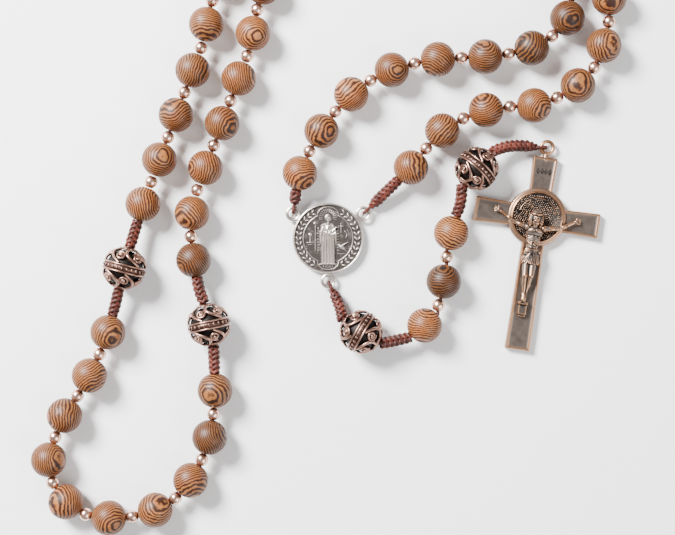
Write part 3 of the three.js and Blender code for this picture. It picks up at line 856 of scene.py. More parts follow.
def plait(path, taper=(1.0, 1.0)):
    """The eight strands of a round plait along a path, each going over two and under two."""
    size = sizes()
    points = np.array([tuple(point) for point in path])
    lengths = np.concatenate([[0], np.cumsum(np.linalg.norm(np.diff(points, axis=0), axis=1))])
    total = lengths[-1]
    count = max(10, int(total / size.plait_pitch * PLAIT_STEPS))
    middle = size.knot_radius - size.strand_radius - WEAVE / 2
    made = []
    for turning in (1, -1):
        for strand in range(STRANDS_EACH_WAY):
            line = []
            for i in range(count + 1):
                gone = total * i / count
                centre = Vector([np.interp(gone, lengths, points[:, axis]) for axis in range(3)])
                near = Vector([np.interp(min(gone + 0.1 * MM, total), lengths, points[:, axis])
                               - np.interp(max(gone - 0.1 * MM, 0), lengths, points[:, axis])
                               for axis in range(3)]).normalized()
                side = near.cross(Vector((0, 0, 1))).normalized()
                up = side.cross(near)
                crossing = 2 * STRANDS_EACH_WAY * gone / size.plait_pitch
                pair = crossing + 2 * strand if turning > 0 else 2 * strand - crossing
                over = turning * math.cos(math.pi * (pair - 0.5) / 2)
                end = min(gone, total - gone) / total
                close = taper[0] if gone < total / 2 else taper[1]
                swell = close + (1 - close) * min(1, end * 5)
                radius = (middle + WEAVE * over) * swell
                wound = turning * math.tau * gone / size.plait_pitch
                turn = wound + math.tau * strand / STRANDS_EACH_WAY
                offset = side * math.cos(turn) * radius + up * math.sin(turn) * radius
                line.append((centre + offset, size.strand_radius * swell))
            made.append((line, False))
    return made


def eye_direction(items, index):
    """The level direction from an eye at an end of a string to what comes next on it."""
    following = items[index + 1] if index == 0 else items[index - 1]
    way = following.at - items[index].at
    way.z = 0
    return way.normalized()


def cord_loop(items, index):
    """Two twisted strands in a ring through an eye, standing across its wire."""
    way = eye_direction(items, index)
    centre = items[index].at + way * EYE_RING_R
    count = 60
    made = []
    for strand in range(2):
        line = []
        for i in range(count):
            turn = math.tau * i / count
            twist = 7 * turn + math.pi * strand
            out = way * math.cos(turn) + Vector((0, 0, 1)) * math.sin(turn)
            side = Vector((-way.y, way.x, 0))
            offset = out * math.cos(twist) + side * math.sin(twist)
            ply = CORD_LOOP_STRAND_R * 0.6
            line.append((centre + out * CORD_LOOP_R + offset * ply, CORD_LOOP_STRAND_R))
        made.append((line, True))
    return made


def eye_plait(items, index):
    """The plait between an eye's cord loop and the first bead."""
    way = eye_direction(items, index)
    start = items[index].at + way * (EYE_RING_R + CORD_LOOP_R - 0.1 * MM)
    bend, face = (1, face_at(items, 2, -1)) if index == 0 else (index - 1, face_at(items, index - 2, 1))
    return plait(bent(start, items[bend].at, face, 24), taper=(0.55, 0.95))


def knot(items, index):
    """The plait between the beads on each side of a knot."""
    before, after = face_at(items, index - 1, 1), face_at(items, index + 1, -1)
    return plait(bent(before, items[index].at, after, 16), taper=(0.93, 0.93))


def core(items, first, last):
    """The round cord through the beads from one item to another. It ends short of an end ball."""
    line = []
    for index in range(first, last + 1):
        item = items[index]
        if spins(items, index):
            line += [face_at(items, index, -1, 0), face_at(items, index, 1, 0)]
        elif item.kind == "spacer" and index in (0, len(items) - 1):
            inward = items[1 if index == 0 else index - 1].at - item.at
            line.append(item.at + inward.normalized() * CORD_END_FROM_SPACER)
        elif item.kind in ("bead", "spacer", "knot", "bend"):
            line.append(item.at)
    return [([(point, CORE_R) for point in line], False)]


# ---- openwork beads ------------------------------------------------------------------------------

def on_ball(radius, polar, turn):
    """A point on a ball about Y, by its angle from +Y and its turn round Y."""
    return Vector((radius * math.sin(polar) * math.cos(turn), radius * math.cos(polar),
                   radius * math.sin(polar) * math.sin(turn)))


def scroll(radius, polar, turn, size, hand):
    """A spiral of wire on a ball, wound about the point at polar and turn."""
    centre = on_ball(1, polar, turn)
    east = Vector((-math.sin(turn), 0, math.cos(turn)))
    north = east.cross(centre)
    line = []
    for i in range(19):
        share = i / 18
        angle = hand * share * 1.45 * math.tau + polar
        reach = size * (1 - 0.74 * share)
        flat = centre * radius + (east * math.cos(angle) + north * math.sin(angle)) * reach
        line.append((flat.normalized() * (radius + 0.08 * MM * share), 0.29 * MM))
    return line, False


def openwork_bead(material):
    """Wires, scrolls, a beaded band and end caps over a ball painted near-black as the shade inside the
    hollow bead, about the Y axis.
    """
    radius = LARGE_BEAD_R - 0.3 * MM
    wires, dots, ways, scales = [], [], [], []
    for side in (1, -1):
        for rib in range(RIBS):
            base = math.tau * (rib + (0.25 if side < 0 else 0)) / RIBS
            line = []
            for i in range(13):
                share = i / 12
                polar = math.radians(76 - 51 * share)
                sway = 0.42 * math.sin(math.pi * share - 0.4) + 0.30 * share
                thick = (0.40 - 0.10 * abs(2 * share - 1)) * MM
                point = on_ball(radius, polar, base + side * sway)
                line.append((Vector((point.x, side * point.y, point.z)), thick))
            wires.append((line, False))
            whorl = base + side * (0.42 + math.pi / 6)
            line, closed = scroll(radius, WHORL_POLAR, whorl, 1.18 * MM, side)
            wires.append(([(Vector((p.x, side * p.y, p.z)), r) for p, r in line], closed))
            centre = on_ball(radius + 0.12 * MM, WHORL_POLAR, whorl)
            dots.append(Vector((centre.x, side * centre.y, centre.z)))
            ways.append(Vector((centre.x, side * centre.y, centre.z)).normalized())
            scales.append((0.34 * MM,) * 3)
        for petal in range(PETALS):
            turn = math.tau * petal / PETALS
            point = on_ball(radius + 0.02 * MM, PETAL_POLAR, turn)
            dots.append(Vector((point.x, side * point.y, point.z)))
            ways.append(Vector((0, 1, 0)))
            scales.append((0.36 * MM, 0.30 * MM, 0.36 * MM))
    for edge in (-BAND_EDGE, BAND_EDGE):
        ring = math.sqrt(radius ** 2 - edge ** 2) + 0.1 * MM
        wires.append(([
            (Vector((ring * math.cos(turn), edge, ring * math.sin(turn))), 0.22 * MM)
            for turn in (math.tau * i / 48 for i in range(48))], True))
    out = radius + 0.05 * MM
    for dot in range(BAND_DOTS):
        turn = math.tau * dot / BAND_DOTS
        dots.append(Vector((out * math.cos(turn), 0, out * math.sin(turn))))
        ways.append(Vector((0, 1, 0)))
        scales.append((0.22 * MM, 0.42 * MM, 0.22 * MM))
    band = lathe([(radius - 0.5 * MM, -0.85 * MM), (radius - 0.05 * MM, -0.8 * MM),
                  (radius - 0.05 * MM, 0.8 * MM), (radius - 0.5 * MM, 0.85 * MM)], 48, closed=True)
    # The inner ball takes the darkest tone: painted shade where the hollow bead is dark inside.
    inner = radius - 0.5 * MM
    hollow = bored_ball(inner, 1.0 * MM, 0.2 * MM, 32, 16)
    meshes = [strands(wires, material, 8), studs(dots, ways, scales, material), band, hollow]
    for side in (1, -1):
        collar = [(1.0, 4.15), (1.95, 4.15), (1.98, 4.42), (1.75, 4.62), (1.45, 4.78), (1.15, 4.95),
                  (1.0, 4.9)]
        meshes.append(lathe([(r * MM, side * y * MM) for r, y in collar], 24, closed=True))
    # Tone by distance from the centre: outer wires worn bright, their recesses dark with patina, and the
    # inner ball at the darkest tone as painted shade.
    for mesh in meshes:
        away = np.linalg.norm(corners_of(mesh), axis=1)
        mark(mesh, "wear", np.clip((away - inner) / (LARGE_BEAD_R - inner), 0, 1))
    return meshes


# ---- relief --------------------------------------------------------------------------------------

class Relief:
    """Heights over a flat face, raised by rounded strokes, spots and plates. Millimetres."""

    def __init__(self, x, y):
        self.x = x
        self.y = y
        self.z = np.zeros_like(x)
        self.away = np.hypot(x, y)
        self.turn = np.arctan2(y, x)

    def stroke(self, points, width, high, end_width=None):
        """A rounded ridge along a line, which may taper."""
        end_width = width if end_width is None else end_width
        count = len(points) - 1
        for i, ((ax, ay), (bx, by)) in enumerate(zip(points, points[1:])):
            dx, dy = bx - ax, by - ay
            share = np.clip(((self.x - ax) * dx + (self.y - ay) * dy) / (dx * dx + dy * dy), 0, 1)
            wide = width + (end_width - width) * (i + share) / count
            away = np.hypot(self.x - ax - share * dx, self.y - ay - share * dy) / wide
            self.z = np.maximum(self.z, high * np.clip(1 - away ** 2, 0, 1) ** 0.75)

    def spot(self, x, y, wide, tall, high, turn=0.0):
        """A rounded boss, wide along its turned x axis and tall across it."""
        c, s = math.cos(turn), math.sin(turn)
        u = ((self.x - x) * c + (self.y - y) * s) / wide
        v = ((self.y - y) * c - (self.x - x) * s) / tall
        self.z = np.maximum(self.z, high * np.clip(1 - u ** 2 - v ** 2, 0, 1) ** 0.75)


def medal_border(relief):
    """The medal's rim, and a line inside it with a lobe at the top and the bottom."""
    rim = np.clip(1 - np.abs((relief.away - 7.99) / 0.27) ** 4, 0, 1)
    relief.z = np.maximum(relief.z, 0.48 * np.sqrt(rim))
    from_top = np.abs(np.abs(relief.turn) - math.pi / 2)
    lobe = np.clip(1 - (from_top / 0.42) ** 2, 0, 1)
    line = 5.75 + 1.5 * np.sqrt(lobe)
    from_line = (relief.away - line) / 0.13
    relief.z = np.maximum(relief.z, 0.26 * np.sqrt(np.clip(1 - from_line ** 2, 0, 1)))


def medal_laurel(relief):
    """Two branches of leaves in two rows between the rim and the line."""
    for side in (-1, 1):
        for leaf in range(13):
            angle = math.radians(-60 + 10 * leaf)
            for row, tilt in ((6.40, 0.60), (7.16, -0.60)):
                cx, cy = row * math.cos(angle), row * math.sin(angle)
                relief.spot(side * cx, cy, 0.54, 0.21, 0.33, side * (angle + math.pi / 2 + tilt))


def medal_robe(relief):
    """The standing figure's robe: a cloak with folds, its sleeves and its hands."""
    x, y = relief.x, relief.y
    cloak = np.clip(1 - (np.abs(x) / (1.58 - 0.02 * y)) ** 4, 0, 1) * (y < 3.1) * (y > -5.9)
    shoulders = np.clip(1 - np.hypot(x / 1.75, (y - 2.6) / 1.0) ** 2, 0, 1)
    relief.z = np.maximum(relief.z, 0.16 * np.sqrt(np.maximum(cloak, shoulders)))
    for fold in (-1.36, -0.70, 0.0, 0.70, 1.36):
        relief.stroke([(fold * 0.75, 1.0), (fold * 0.94, -2.4), (fold, -5.75)], 0.19, 0.50, 0.26)
    relief.spot(-0.05, 2.0, 0.80, 1.35, 0.52)
    relief.stroke([(0, 3.6), (0, 3.0)], 0.30, 0.48, 0.5)
    for side in (-1, 1):
        relief.stroke([(side * 1.20, 2.7), (side * 1.72, 1.4), (side * 0.95, 0.8)], 0.36, 0.50, 0.26)
        relief.stroke([(side * 1.75, 1.0), (side * 1.85, -1.6)], 0.30, 0.40, 0.12)
    relief.stroke([(0.9, 1.6), (1.9, 2.6)], 0.26, 0.60, 0.2)
    relief.stroke([(-0.9, 1.4), (-0.3, 1.2)], 0.24, 0.60, 0.2)


def medal_head(relief):
    """The figure's head with its hood and beard, and the rays round it."""
    for ray in range(15):
        angle = math.radians(-12 + 204 * ray / 14)
        c, s = math.cos(angle), math.sin(angle)
        relief.stroke([(1.25 * c, 4.75 + 1.25 * s), (1.95 * c, 4.75 + 1.95 * s)], 0.07, 0.18, 0.10)
    relief.spot(0, 4.72, 0.80, 0.95, 0.20)
    relief.spot(0, 4.72, 0.47, 0.66, 0.50)
    relief.spot(0, 4.24, 0.30, 0.34, 0.52)
    relief.stroke([(0, 4.80), (0, 4.52)], 0.09, 0.62, 0.12)
    relief.stroke([(-0.26, 4.92), (0.26, 4.92)], 0.09, 0.58)


def medal_ground(relief):
    """The ground under the figure, and rows of dots beside and below it."""
    relief.stroke([(-1.9, -5.98), (1.9, -5.98)], 0.16, 0.34)
    for dot in range(5):
        relief.spot(-1.0 + 0.5 * dot, -6.5, 0.14, 0.14, 0.22)
    for side in (-1, 1):
        for dot in range(9):
            relief.spot(side * 2.28, 2.4 - 0.66 * dot, 0.13, 0.22, 0.26)
        for dot in range(4):
            relief.spot(side * 4.9, -1.9 - 0.5 * dot, 0.15, 0.15, 0.20)


def medal_emblems(relief):
    """Plain emblems: a staff and a cup on its foot at the left, a cross and a bird at the right."""
    relief.stroke([(-2.95, 3.3), (-2.95, -2.9)], 0.11, 0.26)
    relief.stroke([(-2.6, 3.4), (-2.95, 3.8), (-3.3, 3.4)], 0.11, 0.26)
    relief.spot(-4.15, 0.9, 0.55, 0.42, 0.30)
    relief.stroke([(-4.15, 0.6), (-4.15, -0.9)], 0.14, 0.26, 0.2)
    relief.stroke([(-4.75, -1.0), (-3.55, -1.0)], 0.16, 0.28)
    relief.stroke([(-4.6, -1.5), (-3.7, -1.5)], 0.12, 0.24)
    relief.stroke([(3.0, 3.4), (3.0, 1.3)], 0.13, 0.32)
    relief.stroke([(2.45, 2.8), (3.55, 2.8)], 0.13, 0.32)
    relief.stroke([(3.9, 1.7), (4.4, 0.9), (4.1, 0.1)], 0.14, 0.24, 0.08)
    relief.stroke([(4.5, 1.9), (4.9, 1.2)], 0.12, 0.22, 0.08)
    relief.spot(3.2, -2.1, 0.95, 0.5, 0.34, -0.6)
    relief.spot(2.55, -1.55, 0.34, 0.32, 0.36)
    relief.stroke([(2.9, -1.9), (4.0, -1.2), (4.7, -0.9)], 0.24, 0.30, 0.08)
    relief.stroke([(3.6, -2.4), (4.3, -3.1)], 0.2, 0.26, 0.08)
    relief.stroke([(2.35, -3.6), (3.9, -3.6)], 0.12, 0.2)


def medal_relief(x, y):
    """The medal's heights over its field."""
    relief = Relief(x, y)
    for part in (medal_border, medal_laurel, medal_robe, medal_head, medal_ground, medal_emblems):
        part(relief)
    return relief.z


def medal_disc(material):
    """The medal's body as rings from the centre of its face over the rim to its back."""
    around = MEDAL_AROUND
    radii = [7.95 * i / MEDAL_ROWS for i in range(1, MEDAL_ROWS + 1)] + [8.05, 8.15, 8.22, 8.25]
    turns = np.array([math.tau * i / around for i in range(around)])
    middle = np.array([0.0])
    points = [(0, 0, MEDAL_FIELD_Z / MM + float(medal_relief(middle, middle)[0]))]
    for radius in radii:
        x, y = radius * np.cos(turns), radius * np.sin(turns)
        drop = 0.5 * max(0, (radius - 8.05) / 0.2) ** 2
        z = MEDAL_FIELD_Z / MM + medal_relief(x, y) - drop
        points += list(zip(x, y, np.maximum(z, 1.3)))
    for radius, z in ((8.25, 0.25), (8.15, 0.08), (8.0, 0)):
        points += [(radius * math.cos(turn), radius * math.sin(turn), z) for turn in turns]
    points.append((0, 0, 0))
    rows = len(radii) + 3
    faces = [(0, 1 + i, 1 + (i + 1) % around) for i in range(around)]
    for row in range(rows - 1):
        first = 1 + row * around
        for i in range(around):
            j = (i + 1) % around
            faces.append((first + i, first + around + i, first + around + j, first + j))
    last, centre = 1 + (rows - 1) * around, len(points) - 1
    faces += [(last + i, centre, last + (i + 1) % around) for i in range(around)]
    mesh = bpy.data.meshes.new("medal_disc")
    mesh.from_pydata([tuple(c * MM for c in point) for point in points], [], faces)
    mesh.shade_smooth()
    heights = corners_of(mesh)[:, 2]
    mark(mesh, "wear", np.clip((heights - MEDAL_FIELD_Z) / (0.42 * MM), 0, 1))
    mesh.materials.append(material)
    return mesh


def eye_ring(centre, material):
    """A cast eye: a ring of wire that lies flat."""
    line = [(centre + Vector((math.cos(turn), math.sin(turn), 0)) * EYE_RING_R, EYE_WIRE_R)
            for turn in (math.tau * i / 40 for i in range(40))]
    mesh = strands([(line, True)], material, 14)
    mark(mesh, "wear", np.full(len(mesh.vertices), 0.95))
    return mesh


# ---- crucifix ------------------------------------------------------------------------------------

def on_crucifix(mesh):
    """Moves a mesh from the crucifix's own frame to its place at the end of the pendant."""
    place = Matrix.Translation((*CRUCIFIX_EYE, 0)) @ Matrix.Rotation(CROSS_TILT, 4, "Z")
    return placed(mesh, place)


def cross_outline(inset):
    """The corners of the cross, drawn in by an inset. Its four ends are a little wider."""
    half = CROSS_HALF_W - inset
    wide = half + CROSS_FLARE
    span = CROSS_HALF_SPAN - inset
    foot = -CROSS_LENGTH + inset
    arm = CROSS_ARM
    corners = [
        (-wide, -inset), (-half, arm + half), (-span, arm + wide), (-span, arm - wide),
        (-half, arm - half), (-wide, foot), (wide, foot), (half, arm - half), (span, arm - wide),
        (span, arm + wide), (half, arm + half), (wide, -inset),
    ]
    return [(x, y + CROSS_TOP) for x, y in corners]


def cross_plate():
    """The cross: a plate with rounded edges that are worn bright, round a slightly sunk field.

    Each step is an inset and a height in millimetres, and how worn the plate is there."""
    steps = [(0.15, 0.0, 0.3), (0.03, 0.05, 0.4), (0.0, 0.2, 0.5), (0.0, 1.7, 0.8), (0.05, 1.88, 1.0),
             (0.16, 1.98, 1.0), (0.32, 2.02, 0.95), (0.50, 1.99, 0.78), (0.68, 1.92, 0.52),
             (0.90, 1.87, 0.40), (1.20, 1.86, 0.36)]
    shape = bmesh.new()
    loops = [[shape.verts.new((x, y, high * MM)) for x, y in cross_outline(inset * MM)]
             for inset, high, _ in steps]
    count = len(loops[0])
    for low, high in zip(loops, loops[1:]):
        for i in range(count):
            j = (i + 1) % count
            shape.faces.new((low[i], low[j], high[j], high[i]))
    shape.faces.new(loops[-1])
    shape.faces.new(list(reversed(loops[0])))
    bmesh.ops.recalc_face_normals(shape, faces=shape.faces)
    mesh = bpy.data.meshes.new("cross_plate")
    shape.to_mesh(mesh)
    shape.free()
    mark(mesh, "wear", np.repeat([wear for _, _, wear in steps], count))
    return mesh


def cross_disc():
    """The round plate behind the crossing, with a broad band and a fine bright line inside it."""
    profile = [
        (0, DISC_FIELD_Z), (5.52, DISC_FIELD_Z), (5.62, 2.22), (5.70, 2.42), (5.80, 2.47), (5.90, 2.40),
        (5.96, 2.26), (6.1, 2.24), (6.55, 2.22), (6.72, 2.08), (6.78, 1.8), (6.78, 0.3), (6.65, 0.05),
        (0, 0.02),
    ]
    mesh = lathe([(radius * MM, high * MM) for radius, high in profile], 96)
    away = np.hypot(corners_of(mesh)[:, 0], corners_of(mesh)[:, 2]) / MM
    mark(mesh, "wear", np.where(away < 5.6, 0.05, np.where(away < 6.0, 1.0, 0.72)))
    return placed(mesh, Matrix.Translation(CROSSING) @ Matrix.Rotation(math.pi / 2, 4, "X"))


def cross_ornament(material):
    """Granules and three fine arcs on the disc, and four small lozenges on the post above it."""
    chance = random.Random(11)
    points, scales = [], []
    step = 0.50
    for row in range(-11, 12):
        for column in range(-11, 12):
            x = (column + 0.5 * (row % 2)) * step + chance.uniform(-0.07, 0.07)
            y = row * step * 0.87 + chance.uniform(-0.07, 0.07)
            away = math.hypot(x, y)
            on_line = abs(away - DISC_LINE_R) < 0.26 and y > 0.2
            if away < 5.35 and not on_line:
                points.append(CROSSING + Vector((x, y, 2.09)) * MM)
                size = chance.uniform(0.14, 0.21) * MM
                scales.append((size, size, size))
    ways = [Vector((0, 1, 0))] * len(points)
    granules = studs(points, ways, scales, material, 6, 4)
    lines = []
    for low, high in ((14, 62), (70, 110), (118, 166)):
        arc = [CROSSING + Vector((DISC_LINE_R * math.cos(a), DISC_LINE_R * math.sin(a), 2.13)) * MM
               for a in np.radians(np.linspace(low, high, 14))]
        lines.append(([(point, 0.13 * MM) for point in arc], False))
    for lozenge in range(4):
        x, y = -1.35 + 0.9 * lozenge, -5.6
        corners = [Vector((x + dx, y + dy, 1.88)) * MM
                   for dx, dy in ((-0.28, 0), (0, -0.62), (0.28, 0), (0, 0.62))]
        lines.append(([(point, 0.13 * MM) for point in corners], True))
    wires = strands(lines, material, 8)
    for mesh in (granules, wires):
        heights = corners_of(mesh)[:, 2]
        mark(mesh, "wear", np.clip((heights - 2.06 * MM) / (0.26 * MM), 0.05, 0.85))
    return [granules, wires]


# ---- figure --------------------------------------------------------------------------------------

def capsule(a, b, ra, rb):
    """A closed rounded limb from a to b, about the crossing. Millimetres in, metres out."""
    a, b = Vector(a) * MM, Vector(b) * MM
    ra, rb = ra * MM, rb * MM
    length = (b - a).length
    profile = []
    for i in range(7):
        turn = math.pi / 2 * i / 6
        profile.append((ra * math.sin(turn), -ra * math.cos(turn)))
    for i in range(7):
        turn = math.pi / 2 * i / 6
        profile.append((rb * math.cos(turn), length + rb * math.sin(turn)))
    profile[0] = (0, -ra)
    profile[-1] = (0, length + rb)
    mesh = lathe(profile, 16)
    way = b - a
    turn = Vector((0, 1, 0)).rotation_difference(way)
    return placed(mesh, Matrix.Translation(a) @ turn.to_matrix().to_4x4())


def blob(centre, radii, tilt=(0, 0, 0)):
    """A closed ellipsoid."""
    mesh = ball_mesh(1, 24, 14)
    about_x, about_y, about_z = (Matrix.Rotation(turn, 4, axis) for turn, axis in zip(tilt, "XYZ"))
    spin = about_z @ about_y @ about_x
    size = Matrix.Diagonal((*(r * MM for r in radii), 1))
    return placed(mesh, Matrix.Translation(Vector(centre) * MM) @ spin @ size)


class Figure:
    """The figure's rounded shapes about the crossing, in millimetres, its back at z = 2."""

    def __init__(self):
        self.shapes = []

    def limb(self, start, end, start_radius, end_radius):
        self.shapes.append(capsule(start, end, start_radius, end_radius))

    def mass(self, centre, radii, tilt=(0, 0, 0)):
        self.shapes.append(blob(centre, radii, tilt))

    def head(self):
        """The head, leaning forward and to the left, with hair, a twisted crown and a short beard."""
        head = Vector((-0.50, -0.35, 4.35))
        self.mass(head, (1.12, 1.45, 1.20), (0.12, 0, -0.10))
        self.mass(head + Vector((0, 0.42, -0.30)), (1.42, 1.55, 1.28))
        self.mass(head + Vector((0.02, -0.26, 0.66)), (0.74, 0.88, 0.52))
        for side in (-1, 1):
            self.limb(head + Vector((side * 1.14, 0.5, 0.05)),
                      head + Vector((side * 1.36, -0.7, -0.1)), 0.46, 0.48)
            self.limb(head + Vector((side * 1.36, -0.7, -0.1)),
                      head + Vector((side * 1.22, -2.0, -0.4)), 0.46, 0.24)
            self.limb(head + Vector((side * 1.02, 0.4, 0.42)),
                      head + Vector((side * 1.16, -1.2, 0.25)), 0.20, 0.20)
            self.limb(head + Vector((side * 1.34, 0.2, 0.25)),
                      head + Vector((side * 1.46, -1.4, 0.05)), 0.18, 0.18)
            self.limb(head + Vector((side * 0.14, 0.18, 1.14)),
                      head + Vector((side * 0.58, 0.16, 0.98)), 0.11, 0.09)
            self.mass(head + Vector((side * 0.33, 0.0, 1.07)), (0.17, 0.09, 0.10))
            self.mass(head + Vector((side * 0.44, -0.34, 0.92)), (0.26, 0.24, 0.20))
            self.limb(head + Vector((side * 0.07, -0.62, 1.16)),
                      head + Vector((side * 0.46, -0.84, 0.96)), 0.10, 0.10)
        self.limb(head + Vector((0, 0.16, 1.14)), head + Vector((0, -0.42, 1.30)), 0.09, 0.14)
        self.mass(head + Vector((0, -0.80, 1.04)), (0.25, 0.06, 0.09))
        self.mass(head + Vector((0, -0.94, 1.00)), (0.20, 0.06, 0.09))
        self.mass(head + Vector((0, -1.10, 0.44)), (0.84, 0.62, 0.46))
        for strand in range(7):
            x = 0.22 * (strand - 3)
            root = head + Vector((x, -1.08 + abs(x) * 0.35, 0.84 - abs(x) * 0.35))
            tip = head + Vector((x * 0.7, -1.95 + abs(x) * 0.6, 0.40 - abs(x) * 0.15))
            self.limb(root, tip, 0.13, 0.11)
        for i in range(16):
            turn = math.tau * i / 16
            following = turn + math.tau / 16 * 1.6
            start, end = (
                Vector((1.30 * math.cos(angle), lift - 0.22 * math.sin(angle), 1.20 * math.sin(angle)))
                for angle, lift in ((turn, 1.00), (following, 0.78 + 0.24 * (i % 2))))
            self.limb(head + start, head + end, 0.17, 0.14)

    def torso(self):
        """The neck, chest, ribs and belly."""
        self.limb((-0.35, -1.9, 3.5), (-0.25, -2.9, 3.3), 0.72, 0.85)
        self.mass((-0.25, -3.65, 3.05), (1.98, 1.50, 1.16))
        self.mass((-0.30, -5.1, 3.00), (1.66, 1.85, 1.14))
        self.mass((-0.35, -6.9, 3.00), (1.34, 1.60, 1.04))
        for side in (-1, 1):
            self.mass((-0.25 + side * 0.86, -3.30, 3.86), (0.92, 0.62, 0.34),
                      (0, side * 0.30, side * -0.25))
            self.limb((-0.25 + side * 0.25, -2.66, 3.98), (-0.25 + side * 1.70, -2.25, 3.66), 0.13, 0.18)
            for rib in range(5):
                y = -4.15 - 0.44 * rib
                width = 1.36 - 0.05 * rib
                self.limb((-0.3 + side * 0.34, y, 4.04), (-0.3 + side * width, y - 0.52, 3.62),
                          0.10, 0.13)
            self.mass((-0.33 + side * 0.32, -6.50, 3.93), (0.30, 0.36, 0.15))
            self.mass((-0.34 + side * 0.30, -7.20, 3.92), (0.28, 0.34, 0.14))

    def arms(self):
        """The arms, drawn up and out, with open hands."""
        reach = {-1: [(-2.05, -2.60, 3.30), (-5.3, -1.75, 2.95), (-8.6, 0.12, 2.75)],
                 1: [(1.75, -2.50, 3.30), (5.4, -1.95, 2.95), (8.4, -0.15, 2.75)]}
        for side, (shoulder, elbow, wrist) in reach.items():
            self.mass(shoulder, (0.86, 0.74, 0.74))
            self.limb(shoulder, elbow, 0.66, 0.46)
            middle = Vector(shoulder) * 0.55 + Vector(elbow) * 0.45 + Vector((0, 0, 0.15))
            self.mass(middle, (1.25, 0.56, 0.60), (0, 0, side * 0.20))
            self.limb(elbow, wrist, 0.50, 0.33)
            swell = Vector(elbow) * 0.7 + Vector(wrist) * 0.3 + Vector((0, 0, 0.1))
            self.mass(swell, (0.95, 0.48, 0.50), (0, 0, side * 0.50))
            palm = Vector(wrist) + Vector((side * 0.55, 0.28, 0.05))
            self.mass(palm, (0.60, 0.46, 0.26), (0, 0, side * 0.45))
            self.mass(palm + Vector((0, 0, 0.26)), (0.19, 0.19, 0.14))
            for finger in range(4):
                root = palm + Vector((side * 0.34, 0.36 - 0.22 * finger, 0.03))
                long = 1.06 - 0.10 * abs(finger - 1.5)
                tip = palm + Vector((side * long, 0.78 - 0.40 * finger, -0.05))
                self.limb(root, tip, 0.15, 0.11)
            self.limb(palm + Vector((0, 0.2, 0)), palm + Vector((side * 0.12, 0.86, 0.0)), 0.16, 0.12)

    def over_cloth(self, x, y):
        """The point of the cloth over x and y."""
        return (x, y, 3.06 + 1.08 * math.sqrt(max(0.05, 1 - ((x + 0.35) / 1.98) ** 2)))

    def loincloth(self):
        """The cloth: a rolled waist, pleats that fan from the right hip, a hem and a hanging end."""
        self.mass((-0.30, -8.6, 3.02), (1.72, 1.35, 1.12))
        self.mass((-0.38, -9.9, 3.02), (2.00, 1.40, 1.14))
        for roll in range(3):
            across = [-2.0 + 0.33 * step for step in range(11)]
            for low, high in zip(across, across[1:]):
                start, end = (
                    self.over_cloth(
                        x * 0.9, -7.66 - 0.24 * roll - 0.07 * roll * math.cos(0.9 * (x + 0.35)))
                    for x in (low, high))
                self.limb(start, end, 0.15, 0.15)
        for pleat in range(9):
            top, bottom = 1.25 - 0.22 * pleat, 1.45 - 0.44 * pleat
            middle = 0.5 * (top + bottom) - 0.12
            foot = -10.95 + 0.16 * (pleat % 2)
            self.limb(self.over_cloth(top, -8.25), self.over_cloth(middle, -9.55), 0.13, 0.18)
            self.limb(self.over_cloth(middle, -9.55), self.over_cloth(bottom, foot), 0.18, 0.22)
        self.mass((1.38, -8.15, 3.60), (0.42, 0.38, 0.40))
        for hang in range(3):
            x = 1.42 + 0.20 * hang
            self.limb((x, -8.3, 3.50 - 0.14 * hang),
                      (x + 0.10, -10.7 + 0.3 * hang, 3.25 - 0.12 * hang), 0.17, 0.22)

    def legs(self):
        """The legs, bent a little at the knees, with one foot over the other."""
        for side, knee, ankle, toe in (
                (-1, (-1.10, -13.8, 4.00), (-0.72, -17.9, 3.15), (-0.68, -19.2, 3.65)),
                (1, (0.28, -13.7, 3.95), (-0.30, -18.0, 2.75), (-0.38, -19.1, 3.05))):
            hip = (-0.42 + side * 0.78, -10.6, 3.2)
            self.limb(hip, knee, 0.92, 0.62)
            self.mass(knee, (0.60, 0.66, 0.62))
            self.limb(knee, ankle, 0.56, 0.36)
            calf = Vector(knee) * 0.66 + Vector(ankle) * 0.34 + Vector((0, 0, -0.25))
            self.mass(calf, (0.58, 1.45, 0.58))
            self.limb(ankle, toe, 0.42, 0.34)
            self.mass(toe, (0.44, 0.50, 0.30))
            for little in range(4):
                x = toe[0] - 0.33 + 0.22 * little
                self.limb((x, toe[1] - 0.15, toe[2]), (x, toe[1] - 0.52, toe[2] - 0.02), 0.12, 0.10)


def foot_ledge():
    """The small sloping block under the feet."""
    shapes = []
    for (x, y, z), (wide, tall, deep) in (((-0.45, -20.15, 2.65), (1.30, 0.32, 0.85)),
                                         ((-0.42, -21.55, 2.45), (1.10, 1.25, 0.65)),
                                         ((-0.38, -22.95, 2.30), (0.85, 0.35, 0.45))):
        shape = bmesh.new()
        bmesh.ops.create_cube(shape, size=2)
        for corner in shape.verts:
            narrow = 0.82 if corner.co.z > 0 else 1.0
            corner.co = Vector((x + corner.co.x * wide * narrow, y + corner.co.y * tall,
                                z + corner.co.z * deep)) * MM
        mesh = bpy.data.meshes.new("ledge")
        shape.to_mesh(mesh)
        shape.free()
        shapes.append(mesh)
    return shapes


def melted(name, meshes, voxel, smoothing):
    """Closed shapes joined into one smooth skin."""
    piece = combined(name, meshes)
    remesh = piece.modifiers.new("skin", "REMESH")
    remesh.mode = "VOXEL"
    remesh.voxel_size = voxel
    remesh.use_smooth_shade = True
    soften = piece.modifiers.new("soften", "SMOOTH")
    soften.factor = 0.5
    soften.iterations = smoothing
    graph = bpy.context.evaluated_depsgraph_get()
    mesh = bpy.data.meshes.new_from_object(piece.evaluated_get(graph))
    bpy.data.objects.remove(piece)
    return mesh


